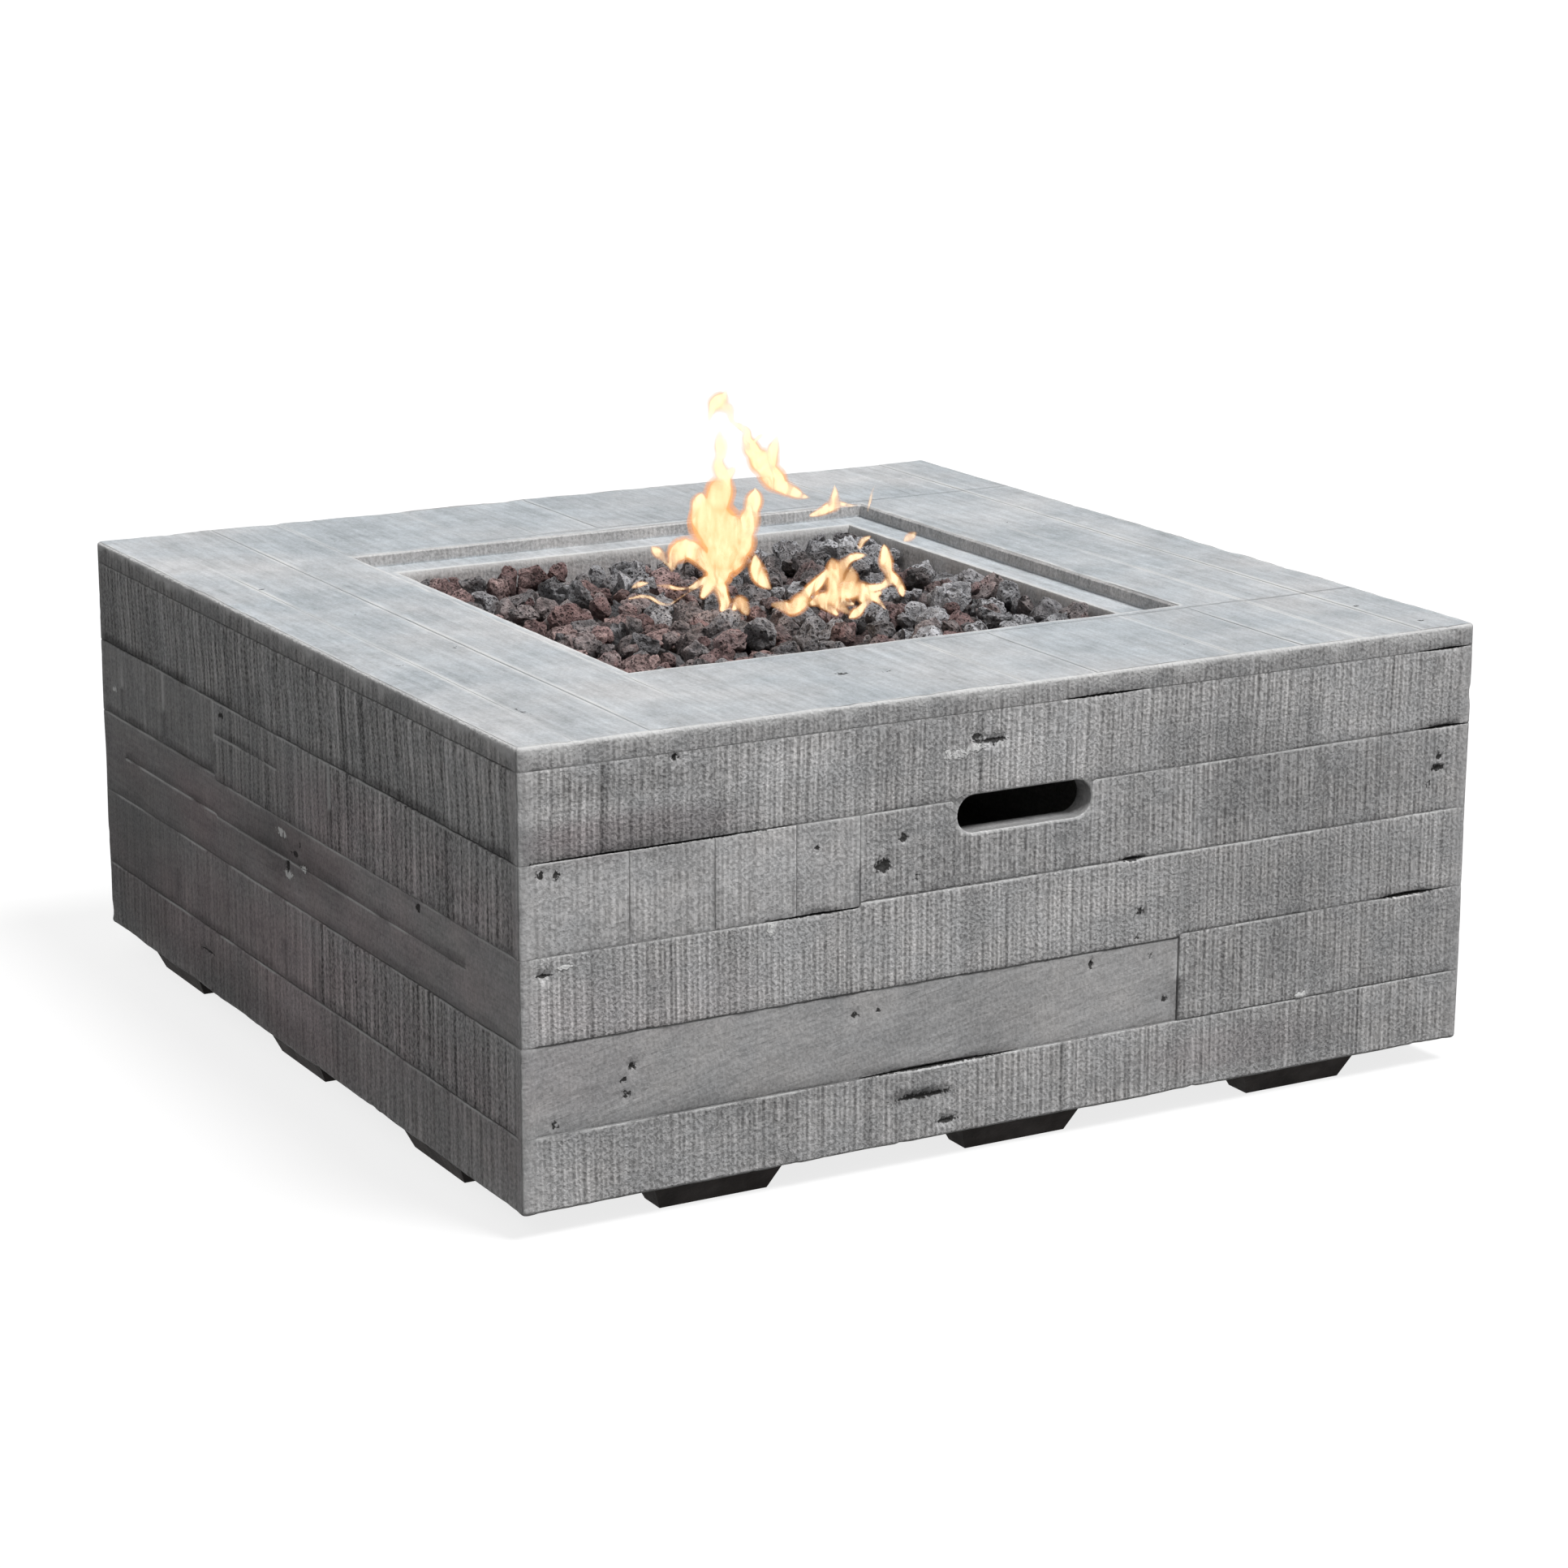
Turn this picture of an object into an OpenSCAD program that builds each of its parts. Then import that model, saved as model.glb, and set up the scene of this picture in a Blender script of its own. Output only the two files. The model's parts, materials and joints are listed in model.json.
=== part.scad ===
// Square gas fire table: a hollow concrete casting marked like weathered timber boards, on twelve
// low feet, with a rock-filled burner pan in its top and a push-and-turn valve behind one wall.
// Millimetres, +Z up. The origin is on the floor under the middle, and a hand slot faces -Y.

/* [Body] */
// Width and depth of the casting
body_w = 864; // [780:2:960]
// Height of the casting above its feet
body_h = 354; // [330:1:420]
// Thickness of the walls
wall = 22; // [20:0.5:28]
// Thickness of the top
slab = 30; // [26:1:40]
// Radius of the upright corners
corner_r = 5; // [4:0.5:12]
// Radius of the top edges
edge_r = 3; // [2:0.5:8]
// Width of the thick rim round the underside
rim_w = 56; // [54:1:80]
// Height of that rim
rim_h = 26; // [24:1:40]

/* [Boards] */
// Height of one course of boards on the walls
course_h = 69.25; // [50:0.25:90]
// Thickness of the boards that cover the top
cover_t = 19; // [14:1:26]
// Width of one board on the top
top_board_w = 63.5; // [45:0.5:90]
// Width of the first board on the left of the top
first_board_w = 47; // [30:1:60]
// Width of the joints between boards
joint_w = 2; // [1:0.25:4]
// Depth of those joints
joint_d = 2.6; // [2:0.2:4]
// How far the deepest board stands back
board_step = 1.8; // [0.5:0.1:1.9]
// Width of the plain strip at each upright corner
corner_strip = 14; // [12:1:30]

/* [Fire opening] */
// Width of the shallow recess round the fire opening
recess_w = 516; // [490:2:560]
// Depth of that recess
recess_d = 12; // [6:1:16]
// Width of the fire opening
opening_w = 456; // [420:2:480]
// Thickness of the walls that hang round the fire opening
basin_wall = 18; // [14:1:28]
// Depth from the top to the lip that carries the pan
basin_d = 78; // [70:1:100]
// Width of that lip
lip_w = 23; // [15:1:30]
// Thickness of that lip
lip_t = 14; // [10:1:24]

/* [Hand slots] */
// Length of a hand slot
slot_l = 122; // [90:1:160]
// Height of a hand slot
slot_h = 30; // [24:1:40]
// Depth of the slots' and the controls' axis below the top
slot_drop = 98.5; // [90:0.5:120]

/* [Feet] */
// Height of the feet
foot_h = 20; // [16:1:40]
// Length of a foot along the wall, at its top
foot_l = 110; // [80:1:140]
// Depth of a foot, at its top
foot_d = 42; // [38:1:50]
// How much each side of a foot leans in
foot_taper = 9; // [4:1:12]
// Gap from the wall's face to a foot's top
foot_inset = 7; // [2:1:8]
// Distance from a corner of the body to the middle of the nearest foot
foot_corner = 162; // [130:1:200]
// Diameter of a foot screw
foot_screw_d = 6; // [4:0.5:8]
// How far a foot screw reaches into the concrete
foot_screw_hold = 18; // [12:1:20]

/* [Burner pan] */
// Thickness of the pan's sheet
sheet = 1.5; // [1:0.25:2]
// Gap round the pan in the fire opening
pan_gap = 2; // [1:0.5:4]
// Height of the pan's turned-up rim
pan_rim_h = 12; // [8:1:20]
// Gap between the burner and the wall of the pan's round well
well_gap = 15.5; // [12:0.5:20]
// Depth of that well
well_depth = 26; // [24:1:40]

/* [Burner] */
// Diameter of the ring tubes
ring_tube_d = 19; // [16:0.5:20]
// Wall of the ring tubes
ring_wall = 1.5; // [1:0.25:2]
// Diameter of the outer ring, at the middle of its tube
outer_ring_d = 280; // [260:2:290]
// Diameter of the inner ring, at the middle of its tube
inner_ring_d = 140; // [130:2:150]
// Diameter of the tube across the rings
cross_tube_d = 16; // [12:0.5:18]
// Diameter of the hub in the middle
hub_d = 36; // [32:1:44]
// Diameter of the threaded stub under the hub
stub_d = 21; // [18:0.5:24]
// Diameter of the flame ports
port_d = 3; // [2:0.25:4]
// Number of flame ports in the outer ring
outer_ports = 32; // [16:4:48]
// Number of flame ports in the inner ring
inner_ports = 16; // [8:4:24]

/* [Lava rock] */
// Number of stones across the pan
rocks_across = 12; // [9:1:14]
// Height of the lowest stones
rock_rise_min = 40; // [30:1:46]
// Height of the tallest stones
rock_rise_max = 62; // [50:1:63]
// Height of the stones' widest part above the pan
rock_waist = 22; // [12:1:26]
// Furthest that a stone's corner strays from an even grid
rock_stray = 6; // [0:0.5:7]
// Share of its space that a stone fills across
rock_fill = 0.985; // [0.95:0.005:0.99]
// Which random arrangement of stones is used
rock_seed = 7; // [1:1:99]

/* [Air mixer] */
// Length of the mixer
mixer_l = 82; // [70:1:100]
// Wall of the mixer
mixer_wall = 2.5; // [2:0.25:4]
// Length of the mixer's socket on the burner's stub
socket_l = 20; // [14:1:26]
// Width of the air windows
window_w = 10; // [6:0.5:12]
// Height of the air windows
window_h = 18; // [10:1:20]
// Wall of the air shutter
shutter_wall = 2.4; // [1.5:0.1:4]
// Length of the air shutter
shutter_l = 28; // [26:1:32]

/* [Gas line] */
// Diameter of the gas tube
gas_tube_d = 10; // [8:0.5:11]
// Wall of the gas tube
gas_tube_wall = 1; // [0.8:0.1:1.5]
// Bend radius at the middle of the gas tube
bend_r = 26; // [20:1:30]
// Height of the gas tube's level run above the floor
run_h = 110; // [80:1:120]
// Diameter of the flare threads on the gas tube
flare_d = 14; // [13:0.5:16]
// Length of those threads
flare_l = 12; // [10:1:16]
// Diameter of the supply inlet's thread
inlet_d = 15.88; // [12:0.01:18]
// Length of the supply inlet's thread
inlet_l = 14; // [10:1:18]

/* [Controls] */
// Width of the cut-out in the wall
panel_w = 170; // [160:1:200]
// Height of the cut-out in the wall
panel_h = 80; // [74:1:88]
// Corner radius of the cut-out
panel_r = 12; // [6:1:16]
// How far the control plate laps behind the wall
plate_lap = 14; // [12:1:18]
// Thickness of the control plate
plate_t = 2; // [1.5:0.25:3]
// Offset of the knob along the wall
knob_y = -26; // [-32:1:-20]
// Diameter of the knob's skirt
knob_d = 44; // [36:1:46]
// Diameter of the knob's grip
grip_d = 33; // [28:1:35]
// How far the knob's face stays behind the wall's face
knob_inset = 2; // [1:0.5:3]
// Travel of the knob when it is pushed
knob_push = 3; // [1:0.5:3.5]
// Diameter of the valve stem
stem_d = 8; // [6:0.5:9]
// Offset of the igniter along the wall
igniter_y = 42; // [36:1:50]
// Diameter of the igniter's barrel
igniter_d = 18; // [16:0.5:20]
// Length of the igniter behind the plate
igniter_l = 58; // [40:1:66]
// Diameter of the igniter's button
button_d = 13; // [9:0.5:14]
// Travel of the button when it is pressed
button_push = 6; // [3:0.5:7]

/* [Sensors] */
// Distance of the probe and the electrode from the middle
sensor_r = 105; // [100:1:110]
// Distance between the probe and the electrode
sensor_gap = 28; // [24:1:34]
// Diameter of the thermocouple probe
probe_d = 5; // [4:0.5:6]
// Diameter of the electrode's ceramic
ceramic_d = 7; // [6:0.5:8]
// Diameter of the thermocouple's lead
lead_d = 2.6; // [2:0.2:3]
// Diameter of the ignition wire
wire_d = 4; // [3:0.25:5]

/* [Hidden] */
$fn = 64;

// Clearances: a cut's overrun, a screw in its hole, a turning or sliding fit, a seat left just clear
overrun = 1;
screw_play = 0.4;
running_play = 0.2;
seat_play = 0.3;
// Height of the hub's cap above the cross tube
hub_cap = 0.7;

// Levels above the floor
z_under = foot_h;
z_top = z_under + body_h;
z_ledge = z_top - recess_d;
z_lip = z_top - basin_d;
z_lip_under = z_lip - lip_t;
z_pan = z_lip + sheet;
z_well = z_pan - well_depth;
z_well_under = z_well - sheet;
z_ring = z_pan - seat_play - max(ring_tube_d / 2, cross_tube_d / 2 + hub_cap);
z_hub = z_ring + cross_tube_d / 2 + hub_cap;
z_axis = z_top - slot_drop;

// Body
foot_pitch = body_w / 2 - foot_corner;
side_courses = floor((body_h - cover_t) / course_h);
pan_w = opening_w - 2 * pan_gap;
pan_corner_r = 12;
well_d = outer_ring_d + ring_tube_d + 2 * well_gap;
drain_d = 8;
drain_inset = 40;

// Set-back of each course as a share of board_step, from the top down, on the front, right, back, left
course_steps = [[0.75, 0.5, 0.2, 0.85, 0.35], [0.6, 0.3, 0.9, 0.4, 0.7], [0.4, 0.9, 0.3, 0.7, 0.5],
                [0.7, 0.5, 0.8, 0.6, 0.3]];
// Offsets of the upright butt joints in those courses
course_butts = [[[], [-147], [], [147], []], [[180], [], [-90], [], [60]],
                [[], [210], [-60], [], [-230]], [[], [-161], [], [-260], []]];

// Feet, with their shift along the front, right, back and left wall
foot_shifts = [5, 0, 0, -20];
foot_head_d = foot_screw_d * 1.7;
foot_head_h = foot_screw_d * 0.8;
foot_head_z = 9;
foot_bore_d = foot_head_d + 2;

// Burner
leg_d = 8;
ring_flats = 12;
lock_nut_t = 6;
lock_nut_af = stub_d + 11;
z_lock_nut = z_well_under - lock_nut_t;

// Air mixer, from its top down
mixer_d = stub_d + 2 * mixer_wall;
z_mixer_top = z_lock_nut - 2;
z_stub_end = z_mixer_top - socket_l;
z_mixer_end = z_mixer_top - mixer_l;
mixer_foot_t = 6;
throat_d = stub_d - 5;
shutter_in_d = mixer_d + running_play;
shutter_out_d = shutter_in_d + 2 * shutter_wall;
z_shutter = z_mixer_end + mixer_foot_t + seat_play;
z_window = z_shutter + (shutter_l - window_h) / 2;
shutter_screw_d = 4;
jet_d = 2;
spigot_d = 12;
spigot_l = 7;
hex_t = 8;
z_jet_end = z_mixer_end - hex_t - flare_l;

// Flare nuts on the gas tube
nut_af = flare_d + 5;
nut_skirt = 6;
nut_grip = flare_l - 3;

// Controls, as distances along +X
x_wall = body_w / 2 - wall;
x_plate = x_wall - plate_t;
plate_w = panel_w + 2 * plate_lap;
plate_h = panel_h + 2 * plate_lap;
plate_screw_d = 4;
plate_screw_y = panel_w / 2 + plate_lap / 2;
plate_screw_z = panel_h / 2 + plate_lap / 2;
plate_screw_hold = wall * 0.55;
x_knob = x_wall + knob_push + 0.5;
knob_h = body_w / 2 - knob_inset - x_knob;
skirt_t = 3.5;
stem_flat = stem_d * 0.3;
sleeve_wall = 1.8;
sleeve_in_d = stem_d + running_play;
sleeve_out_d = sleeve_in_d + 2 * sleeve_wall;
neck_d = sleeve_out_d + running_play;
sleeve_depth = 10;
neck_depth = sleeve_depth + knob_push + 1;
stem_depth = neck_depth + 4;

// Valve, whose ports lie on one cross-section
valve_flange_t = 4;
valve_ear = 27;
valve_flange_w = 26;
valve_barrel_d = 32;
magnet_d = 20;
magnet_l = 26;
magnet_boss_l = 6;
// The ports lie far enough in for a hose to drop straight past the rim under the wall
hose_room = 18;
x_ports = body_w / 2 - rim_w - hose_room;
valve_barrel_l = x_plate - valve_flange_t - x_ports + valve_barrel_d / 2;
port_bore = gas_tube_d - 2 * gas_tube_wall;
outlet_l = 24;
z_valve_end = z_axis - outlet_l - flare_l;
inlet_boss_l = 26;
elbow_y = knob_y - inlet_boss_l - 14;
elbow_d = 18;
elbow_drop = 14;
inlet_hex_t = 6;
inlet_cone = 4;
valve_screw_d = 4;

// Igniter
igniter_flange_d = igniter_d + 6;
igniter_flange_t = 2;
igniter_nut_t = 5;
button_out = 8;
button_in = 5;
terminal_d = 4;
terminal_l = 6;

// Sensors, hung from a bracket under the pan's well
bracket_t = 2;
bracket_w = 26;
bracket_l = sensor_gap + 36;
z_bracket = z_well_under - bracket_t;
collar_t = 5;
tail_l = 26;
bracket_screw_d = 4;
bracket_screw_y = sensor_gap / 2 + 12;
tip_d = 2.4;
wire_rings = 22;
wire_sides = 8;

// Plan of a rectangle with round corners
function rounded(w, h, r, steps = 6) = [
    for (c = [0 : 3], k = [0 : steps])
        let (a = 90 * (c + k / steps), sx = c == 0 || c == 3 ? 1 : -1, sy = c < 2 ? 1 : -1)
        [sx * (w / 2 - r) + r * cos(a), sy * (h / 2 - r) + r * sin(a)]
];

// Upright section with round top corners
function round_topped(w, h, r, steps = 5) = concat(
    [[-w / 2, 0], [w / 2, 0]],
    [for (k = [0 : steps]) let (a = 90 * k / steps) [w / 2 - r + r * cos(a), h - r + r * sin(a)]],
    [for (k = [0 : steps]) let (a = 90 + 90 * k / steps) [-w / 2 + r + r * cos(a), h - r + r * sin(a)]]
);

function mix(a, b, t) = a + (b - a) * t;

// A square prism round the middle, between two levels
module centred_box(w, z0, z1) {
    translate([-w / 2, -w / 2, z0]) cube([w, w, z1 - z0]);
}

// A round bar round the Z axis, between two levels
module bar(d, z0, z1) {
    translate([0, 0, z0]) cylinder(d = d, h = z1 - z0);
}

// Lays what points up along +X, from a start on the wall's axis
module along_x(x, y, z = z_axis) {
    translate([x, y, z]) rotate([0, 90, 0]) children();
}

module hex_bar(af, h) {
    cylinder(d = af / cos(30), h = h, $fn = 6);
}

// Screw with a pan head below z = 0 and its shank above
module screw(d, hold) {
    head_h = d * 0.65;
    translate([0, 0, -head_h]) cylinder(d = d * 1.9, h = head_h);
    cylinder(d = d, h = hold);
}

// The casting before anything is cut from it
module rounded_block() {
    intersection() {
        translate([0, 0, z_under]) linear_extrude(body_h) polygon(rounded(body_w, body_w, corner_r));
        for_each_way() linear_extrude(body_w + 2 * overrun, center = true)
            polygon(round_topped(body_w, body_h, edge_r));
    }
}

// Sections that run along Y and along X, crossed
module for_each_way() {
    intersection() {
        translate([0, 0, z_under]) rotate([90, 0, 0]) children();
        translate([0, 0, z_under]) rotate([90, 0, 90]) children();
    }
}

// Hollow under the top, which leaves the basin and the rim standing
module underside_hollow() {
    difference() {
        centred_box(body_w - 2 * wall, z_under - overrun, z_top - slab);
        centred_box(opening_w + 2 * basin_wall, z_lip_under, z_top);
        difference() {
            centred_box(body_w, z_under - 2 * overrun, z_under + rim_h);
            centred_box(body_w - 2 * rim_w, z_under - 3 * overrun, z_under + rim_h + overrun);
        }
    }
}

module fire_opening() {
    centred_box(recess_w, z_ledge, z_top + overrun);
    centred_box(opening_w, z_lip, z_ledge + overrun);
    centred_box(opening_w - 2 * lip_w, z_lip_under - overrun, z_lip + overrun);
}

module hand_slot() {
    depth = wall + 2 * overrun;
    straight = slot_l - slot_h;
    translate([0, -body_w / 2 - overrun, z_axis]) rotate([-90, 0, 0]) {
        translate([-straight / 2, -slot_h / 2, 0]) cube([straight, slot_h, depth]);
        for (end = [-1, 1]) translate([end * straight / 2, 0, 0]) cylinder(d = slot_h, h = depth);
    }
}

module control_cutout() {
    translate([x_wall - overrun, 0, z_axis]) rotate([90, 0, 90])
        linear_extrude(wall + 2 * overrun) polygon(rounded(panel_w, panel_h, panel_r));
}

// Boards of one wall: each course stands back by its own step, with a joint above it
module wall_boards(steps, butts) {
    run = body_w - 2 * corner_strip;
    for (k = [0 : side_courses]) {
        high = z_top - cover_t - k * course_h;
        low = max(high - course_h, z_under - overrun);
        back = board_step * steps[k % len(steps)];
        translate([-run / 2, -body_w / 2 - overrun, low]) cube([run, back + overrun, high - low]);
        translate([-run / 2, -body_w / 2 - overrun, high - joint_w / 2])
            cube([run, joint_d + overrun, joint_w]);
        for (x = butts[k % len(butts)])
            translate([x - joint_w / 2, -body_w / 2 - overrun, low])
                cube([joint_w, joint_d + overrun, high - low]);
    }
}

// Joints of the boards that cover the top
module top_joints() {
    for (x = [first_board_w : top_board_w : body_w - corner_r])
        translate([x - body_w / 2 - joint_w / 2, -body_w / 2 - overrun, z_top - joint_d])
            cube([joint_w, body_w + 2 * overrun, joint_d + overrun]);
}

module at_feet() {
    for (side = [0 : 3], place = [-1 : 1])
        rotate(90 * side)
            translate([place * foot_pitch + foot_shifts[side], -body_w / 2 + foot_inset + foot_d / 2, 0])
                children();
}

module at_plate_corners() {
    for (sy = [-1, 1], sz = [-1, 1])
        along_x(x_plate, sy * plate_screw_y, z_axis + sz * plate_screw_z) children();
}

module concrete_body() {
    color([0.68, 0.68, 0.69]) difference() {
        rounded_block();
        underside_hollow();
        fire_opening();
        for (turn = [0, 180]) rotate(turn) hand_slot();
        control_cutout();
        for (side = [0 : 3]) rotate(90 * side) wall_boards(course_steps[side], course_butts[side]);
        top_joints();
        at_feet() bar(foot_screw_d + screw_play, z_under - overrun, z_under + foot_screw_hold + overrun);
        at_plate_corners()
            cylinder(d = plate_screw_d + screw_play, h = plate_t + plate_screw_hold + overrun);
    }
}

// Section of a foot across one of its two directions
module foot_section(across, along) {
    rotate([90, 0, 0]) linear_extrude(along + 2 * overrun, center = true)
        polygon([[-across / 2 + foot_taper, 0], [across / 2 - foot_taper, 0],
                 [across / 2, foot_h], [-across / 2, foot_h]]);
}

module feet() {
    color([0.16, 0.15, 0.14]) at_feet() difference() {
        intersection() {
            foot_section(foot_l, foot_d);
            rotate(90) foot_section(foot_d, foot_l);
        }
        bar(foot_screw_d + screw_play, -overrun, foot_h + overrun);
        bar(foot_bore_d, -overrun, foot_head_z);
    }
}

module foot_screws() {
    color([0.7, 0.7, 0.72]) at_feet() {
        bar(foot_head_d, foot_head_z - foot_head_h, foot_head_z);
        bar(foot_screw_d, foot_head_z, z_under + foot_screw_hold);
    }
}

module pan_plate(w, r, z0, z1) {
    translate([0, 0, z0]) linear_extrude(z1 - z0) polygon(rounded(w, w, r));
}

module at_sensors() {
    for (side = [-1, 1]) translate([sensor_r, side * sensor_gap / 2, 0]) children();
}

module at_bracket_screws() {
    for (side = [-1, 1]) translate([sensor_r, side * bracket_screw_y, 0]) children();
}

module burner_pan() {
    color([0.62, 0.62, 0.63]) difference() {
        union() {
            pan_plate(pan_w, pan_corner_r, z_lip, z_lip + pan_rim_h);
            bar(well_d + 2 * sheet, z_well_under, z_pan);
        }
        pan_plate(pan_w - 2 * sheet, pan_corner_r - sheet, z_pan, z_lip + pan_rim_h + overrun);
        bar(well_d, z_well, z_pan + overrun);
        bar(stub_d + screw_play, z_well_under - overrun, z_well + overrun);
        at_sensors() bar(ceramic_d + 2, z_well_under - overrun, z_well + overrun);
        at_bracket_screws() bar(bracket_screw_d + screw_play, z_well_under - overrun, z_well + overrun);
        for (sx = [-1, 1], sy = [-1, 1])
            translate([sx, sy, 0] * (pan_w / 2 - drain_inset)) bar(drain_d, z_lip - overrun, z_pan + overrun);
    }
}

// Ring of rolled tube with flats, so that its ports open on a level crown
module ring(ring_d, tube_d) {
    half_flat = 180 / ring_flats;
    translate([0, 0, z_ring]) rotate_extrude() translate([ring_d / 2, 0]) rotate(half_flat)
        circle(d = tube_d / cos(half_flat), $fn = ring_flats);
}

module cross_tube(tube_d, reach) {
    translate([0, -reach, z_ring]) rotate([-90, 0, 0]) cylinder(d = tube_d, h = 2 * reach);
}

// Flame ports through the level crown of a ring
module ports(ring_d, count) {
    for (k = [0 : count - 1]) rotate((k + 0.5) * 360 / count)
        translate([ring_d / 2, 0, z_ring + ring_wall]) cylinder(d = port_d, h = ring_tube_d, $fn = 6);
}

module burner_skin() {
    for (ring_d = [outer_ring_d, inner_ring_d]) ring(ring_d, ring_tube_d);
    cross_tube(cross_tube_d, outer_ring_d / 2);
    bar(hub_d, z_well, z_hub);
    bar(stub_d, z_stub_end, z_well);
    for (k = [0 : 3]) rotate(45 + 90 * k)
        translate([outer_ring_d / 2, 0, 0]) bar(leg_d, z_well, z_ring - (ring_tube_d - ring_wall) / 2);
}

module burner_gas_way() {
    bore = 2 * ring_wall;
    for (ring_d = [outer_ring_d, inner_ring_d]) ring(ring_d, ring_tube_d - bore);
    cross_tube(cross_tube_d - bore, outer_ring_d / 2 + overrun);
    bar(stub_d - 2 * bore, z_stub_end - overrun, z_hub - ring_wall);
}

module burner() {
    color([0.5, 0.5, 0.5]) difference() {
        difference() {
            burner_skin();
            burner_gas_way();
        }
        ports(outer_ring_d, outer_ports);
        ports(inner_ring_d, inner_ports);
    }
}

module burner_lock_nut() {
    color([0.72, 0.6, 0.35]) difference() {
        translate([0, 0, z_lock_nut]) hex_bar(lock_nut_af, lock_nut_t);
        bar(stub_d + running_play, z_lock_nut - overrun, z_well_under + overrun);
    }
}

function middle(q) = (q[0] + q[1] + q[2] + q[3]) / 4;

// A stone in a four-cornered space: narrow flat base, wide waist with cut corners, uneven top
function stone_points(q, base, waist, rise, lean, drops) = let (c = middle(q)) concat(
    [for (k = [0 : 3]) let (p = mix(c, q[k], 0.72)) [p[0], p[1], base]],
    [for (k = [0 : 3], way = [3, 1])
        let (p = mix(c, mix(q[k], q[(k + way) % 4], 0.22), rock_fill)) [p[0], p[1], base + waist]],
    [for (k = [0 : 3]) let (p = mix(c, q[k], 0.45) + lean) [p[0], p[1], base + rise - drops[k]]]
);

// Triangles of a stone, round its base (0 to 3), its waist (4 to 11) and its top (12 to 15)
stone_faces = concat(
    [[0, 1, 2], [0, 2, 3], [12, 15, 14], [12, 14, 13]],
    [for (k = [0 : 3]) let (n = (k + 1) % 4, a = 4 + 2 * k, b = a + 1, c = 4 + 2 * n)
        each [[k, a, b], [k, b, c], [k, c, n], [a, 12 + k, b], [b, 12 + k, 12 + n], [b, 12 + n, c]]]
);

module stone(q, base, waist, rise, noise) {
    lean = [noise[0], noise[1]] * 3;
    drops = [for (k = [0 : 3]) (1 + noise[k]) * rise * 0.14];
    polyhedron(stone_points(q, base, waist, rise, lean, drops), stone_faces);
}

rock_pitch = (pan_w - 2 * sheet - 2 * seat_play) / rocks_across;
rock_corner_noise = rands(-1, 1, 2 * pow(rocks_across + 1, 2), rock_seed);
rock_noise = rands(-1, 1, 5 * pow(rocks_across, 2), rock_seed + 1);

// Place of a corner of the stones' grid, which strays unless it lies on the pan's rim
function rock_stray_at(k, n) = k == 0 || k == rocks_across ? 0 : rock_stray * rock_corner_noise[n];
function rock_corner(i, j) = let (n = 2 * (i * (rocks_across + 1) + j)) [
    (i - rocks_across / 2) * rock_pitch + rock_stray_at(i, n),
    (j - rocks_across / 2) * rock_pitch + rock_stray_at(j, n + 1)
];

module lava_rocks() {
    color([0.3, 0.26, 0.26]) for (i = [0 : rocks_across - 1], j = [0 : rocks_across - 1]) {
        n = 5 * (i * rocks_across + j);
        noise = [for (k = [0 : 3]) rock_noise[n + k]];
        rise = mix(rock_rise_min, rock_rise_max, (1 + rock_noise[n + 4]) / 2);
        corners = [rock_corner(i, j), rock_corner(i + 1, j), rock_corner(i + 1, j + 1), rock_corner(i, j + 1)];
        stone(corners, z_pan, rock_waist, rise, noise);
    }
}

// Stones that fill a ring of the well, apart from the angles that are kept clear
module stone_ring(r_in, r_out, size, clear, seed) {
    rise = well_depth - 2 * seat_play;
    count = floor(PI * (r_in + r_out) / size);
    noise = rands(-1, 1, 4 * count, seed);
    for (k = [0 : count - 1]) {
        from = 360 * k / count;
        to = 360 * (k + 1) / count;
        corners = [for (c = [[r_in, from], [r_out, from], [r_out, to], [r_in, to]])
            c[0] * [cos(c[1]), sin(c[1])]];
        blocked = [for (c = clear) if (abs(((from + to) / 2 - c[0] + 540) % 360 - 180) < c[1]) c];
        if (len(blocked) == 0)
            stone(corners, z_well, rise / 2, rise, [for (n = [0 : 3]) noise[4 * k + n]]);
    }
}

module well_rocks() {
    gap = 1.5;
    size = 25;
    inner_r = inner_ring_d / 2;
    between_in = inner_r + ring_tube_d / 2 + gap;
    between_out = outer_ring_d / 2 - ring_tube_d / 2 - gap;
    between_mid = (between_in + between_out) / 2;
    // The cross tube lies at 90 and 270 degrees, and the sensors at 0
    for_tube = [[90, 18], [270, 18]];
    for_sensors = [0, 26];
    color([0.24, 0.21, 0.21]) {
        stone_ring(hub_d / 2 + gap, inner_r - ring_tube_d / 2 - gap, size, [[90, 34], [270, 34]], rock_seed + 2);
        stone_ring(between_in, between_mid, size, concat(for_tube, [for_sensors]), rock_seed + 3);
        stone_ring(between_mid, between_out, size, concat(for_tube, [for_sensors]), rock_seed + 4);
    }
}

module air_windows() {
    reach = shutter_out_d + 2 * overrun;
    translate([-window_w / 2, -reach / 2, z_window]) cube([window_w, reach, window_h]);
}

module air_mixer() {
    color([0.55, 0.55, 0.56]) difference() {
        union() {
            bar(mixer_d, z_mixer_end, z_mixer_top);
            bar(shutter_out_d, z_mixer_end, z_mixer_end + mixer_foot_t);
        }
        bar(stub_d + running_play, z_stub_end, z_mixer_top + overrun);
        bar(throat_d, z_mixer_end + spigot_l + overrun, z_stub_end + overrun);
        bar(spigot_d + running_play, z_mixer_end - overrun, z_mixer_end + spigot_l + 2 * overrun);
        air_windows();
    }
}

module shutter_screw_way() {
    translate([0, 0, z_shutter + shutter_l - shutter_screw_d]) rotate([0, 90, 0]) children();
}

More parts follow.
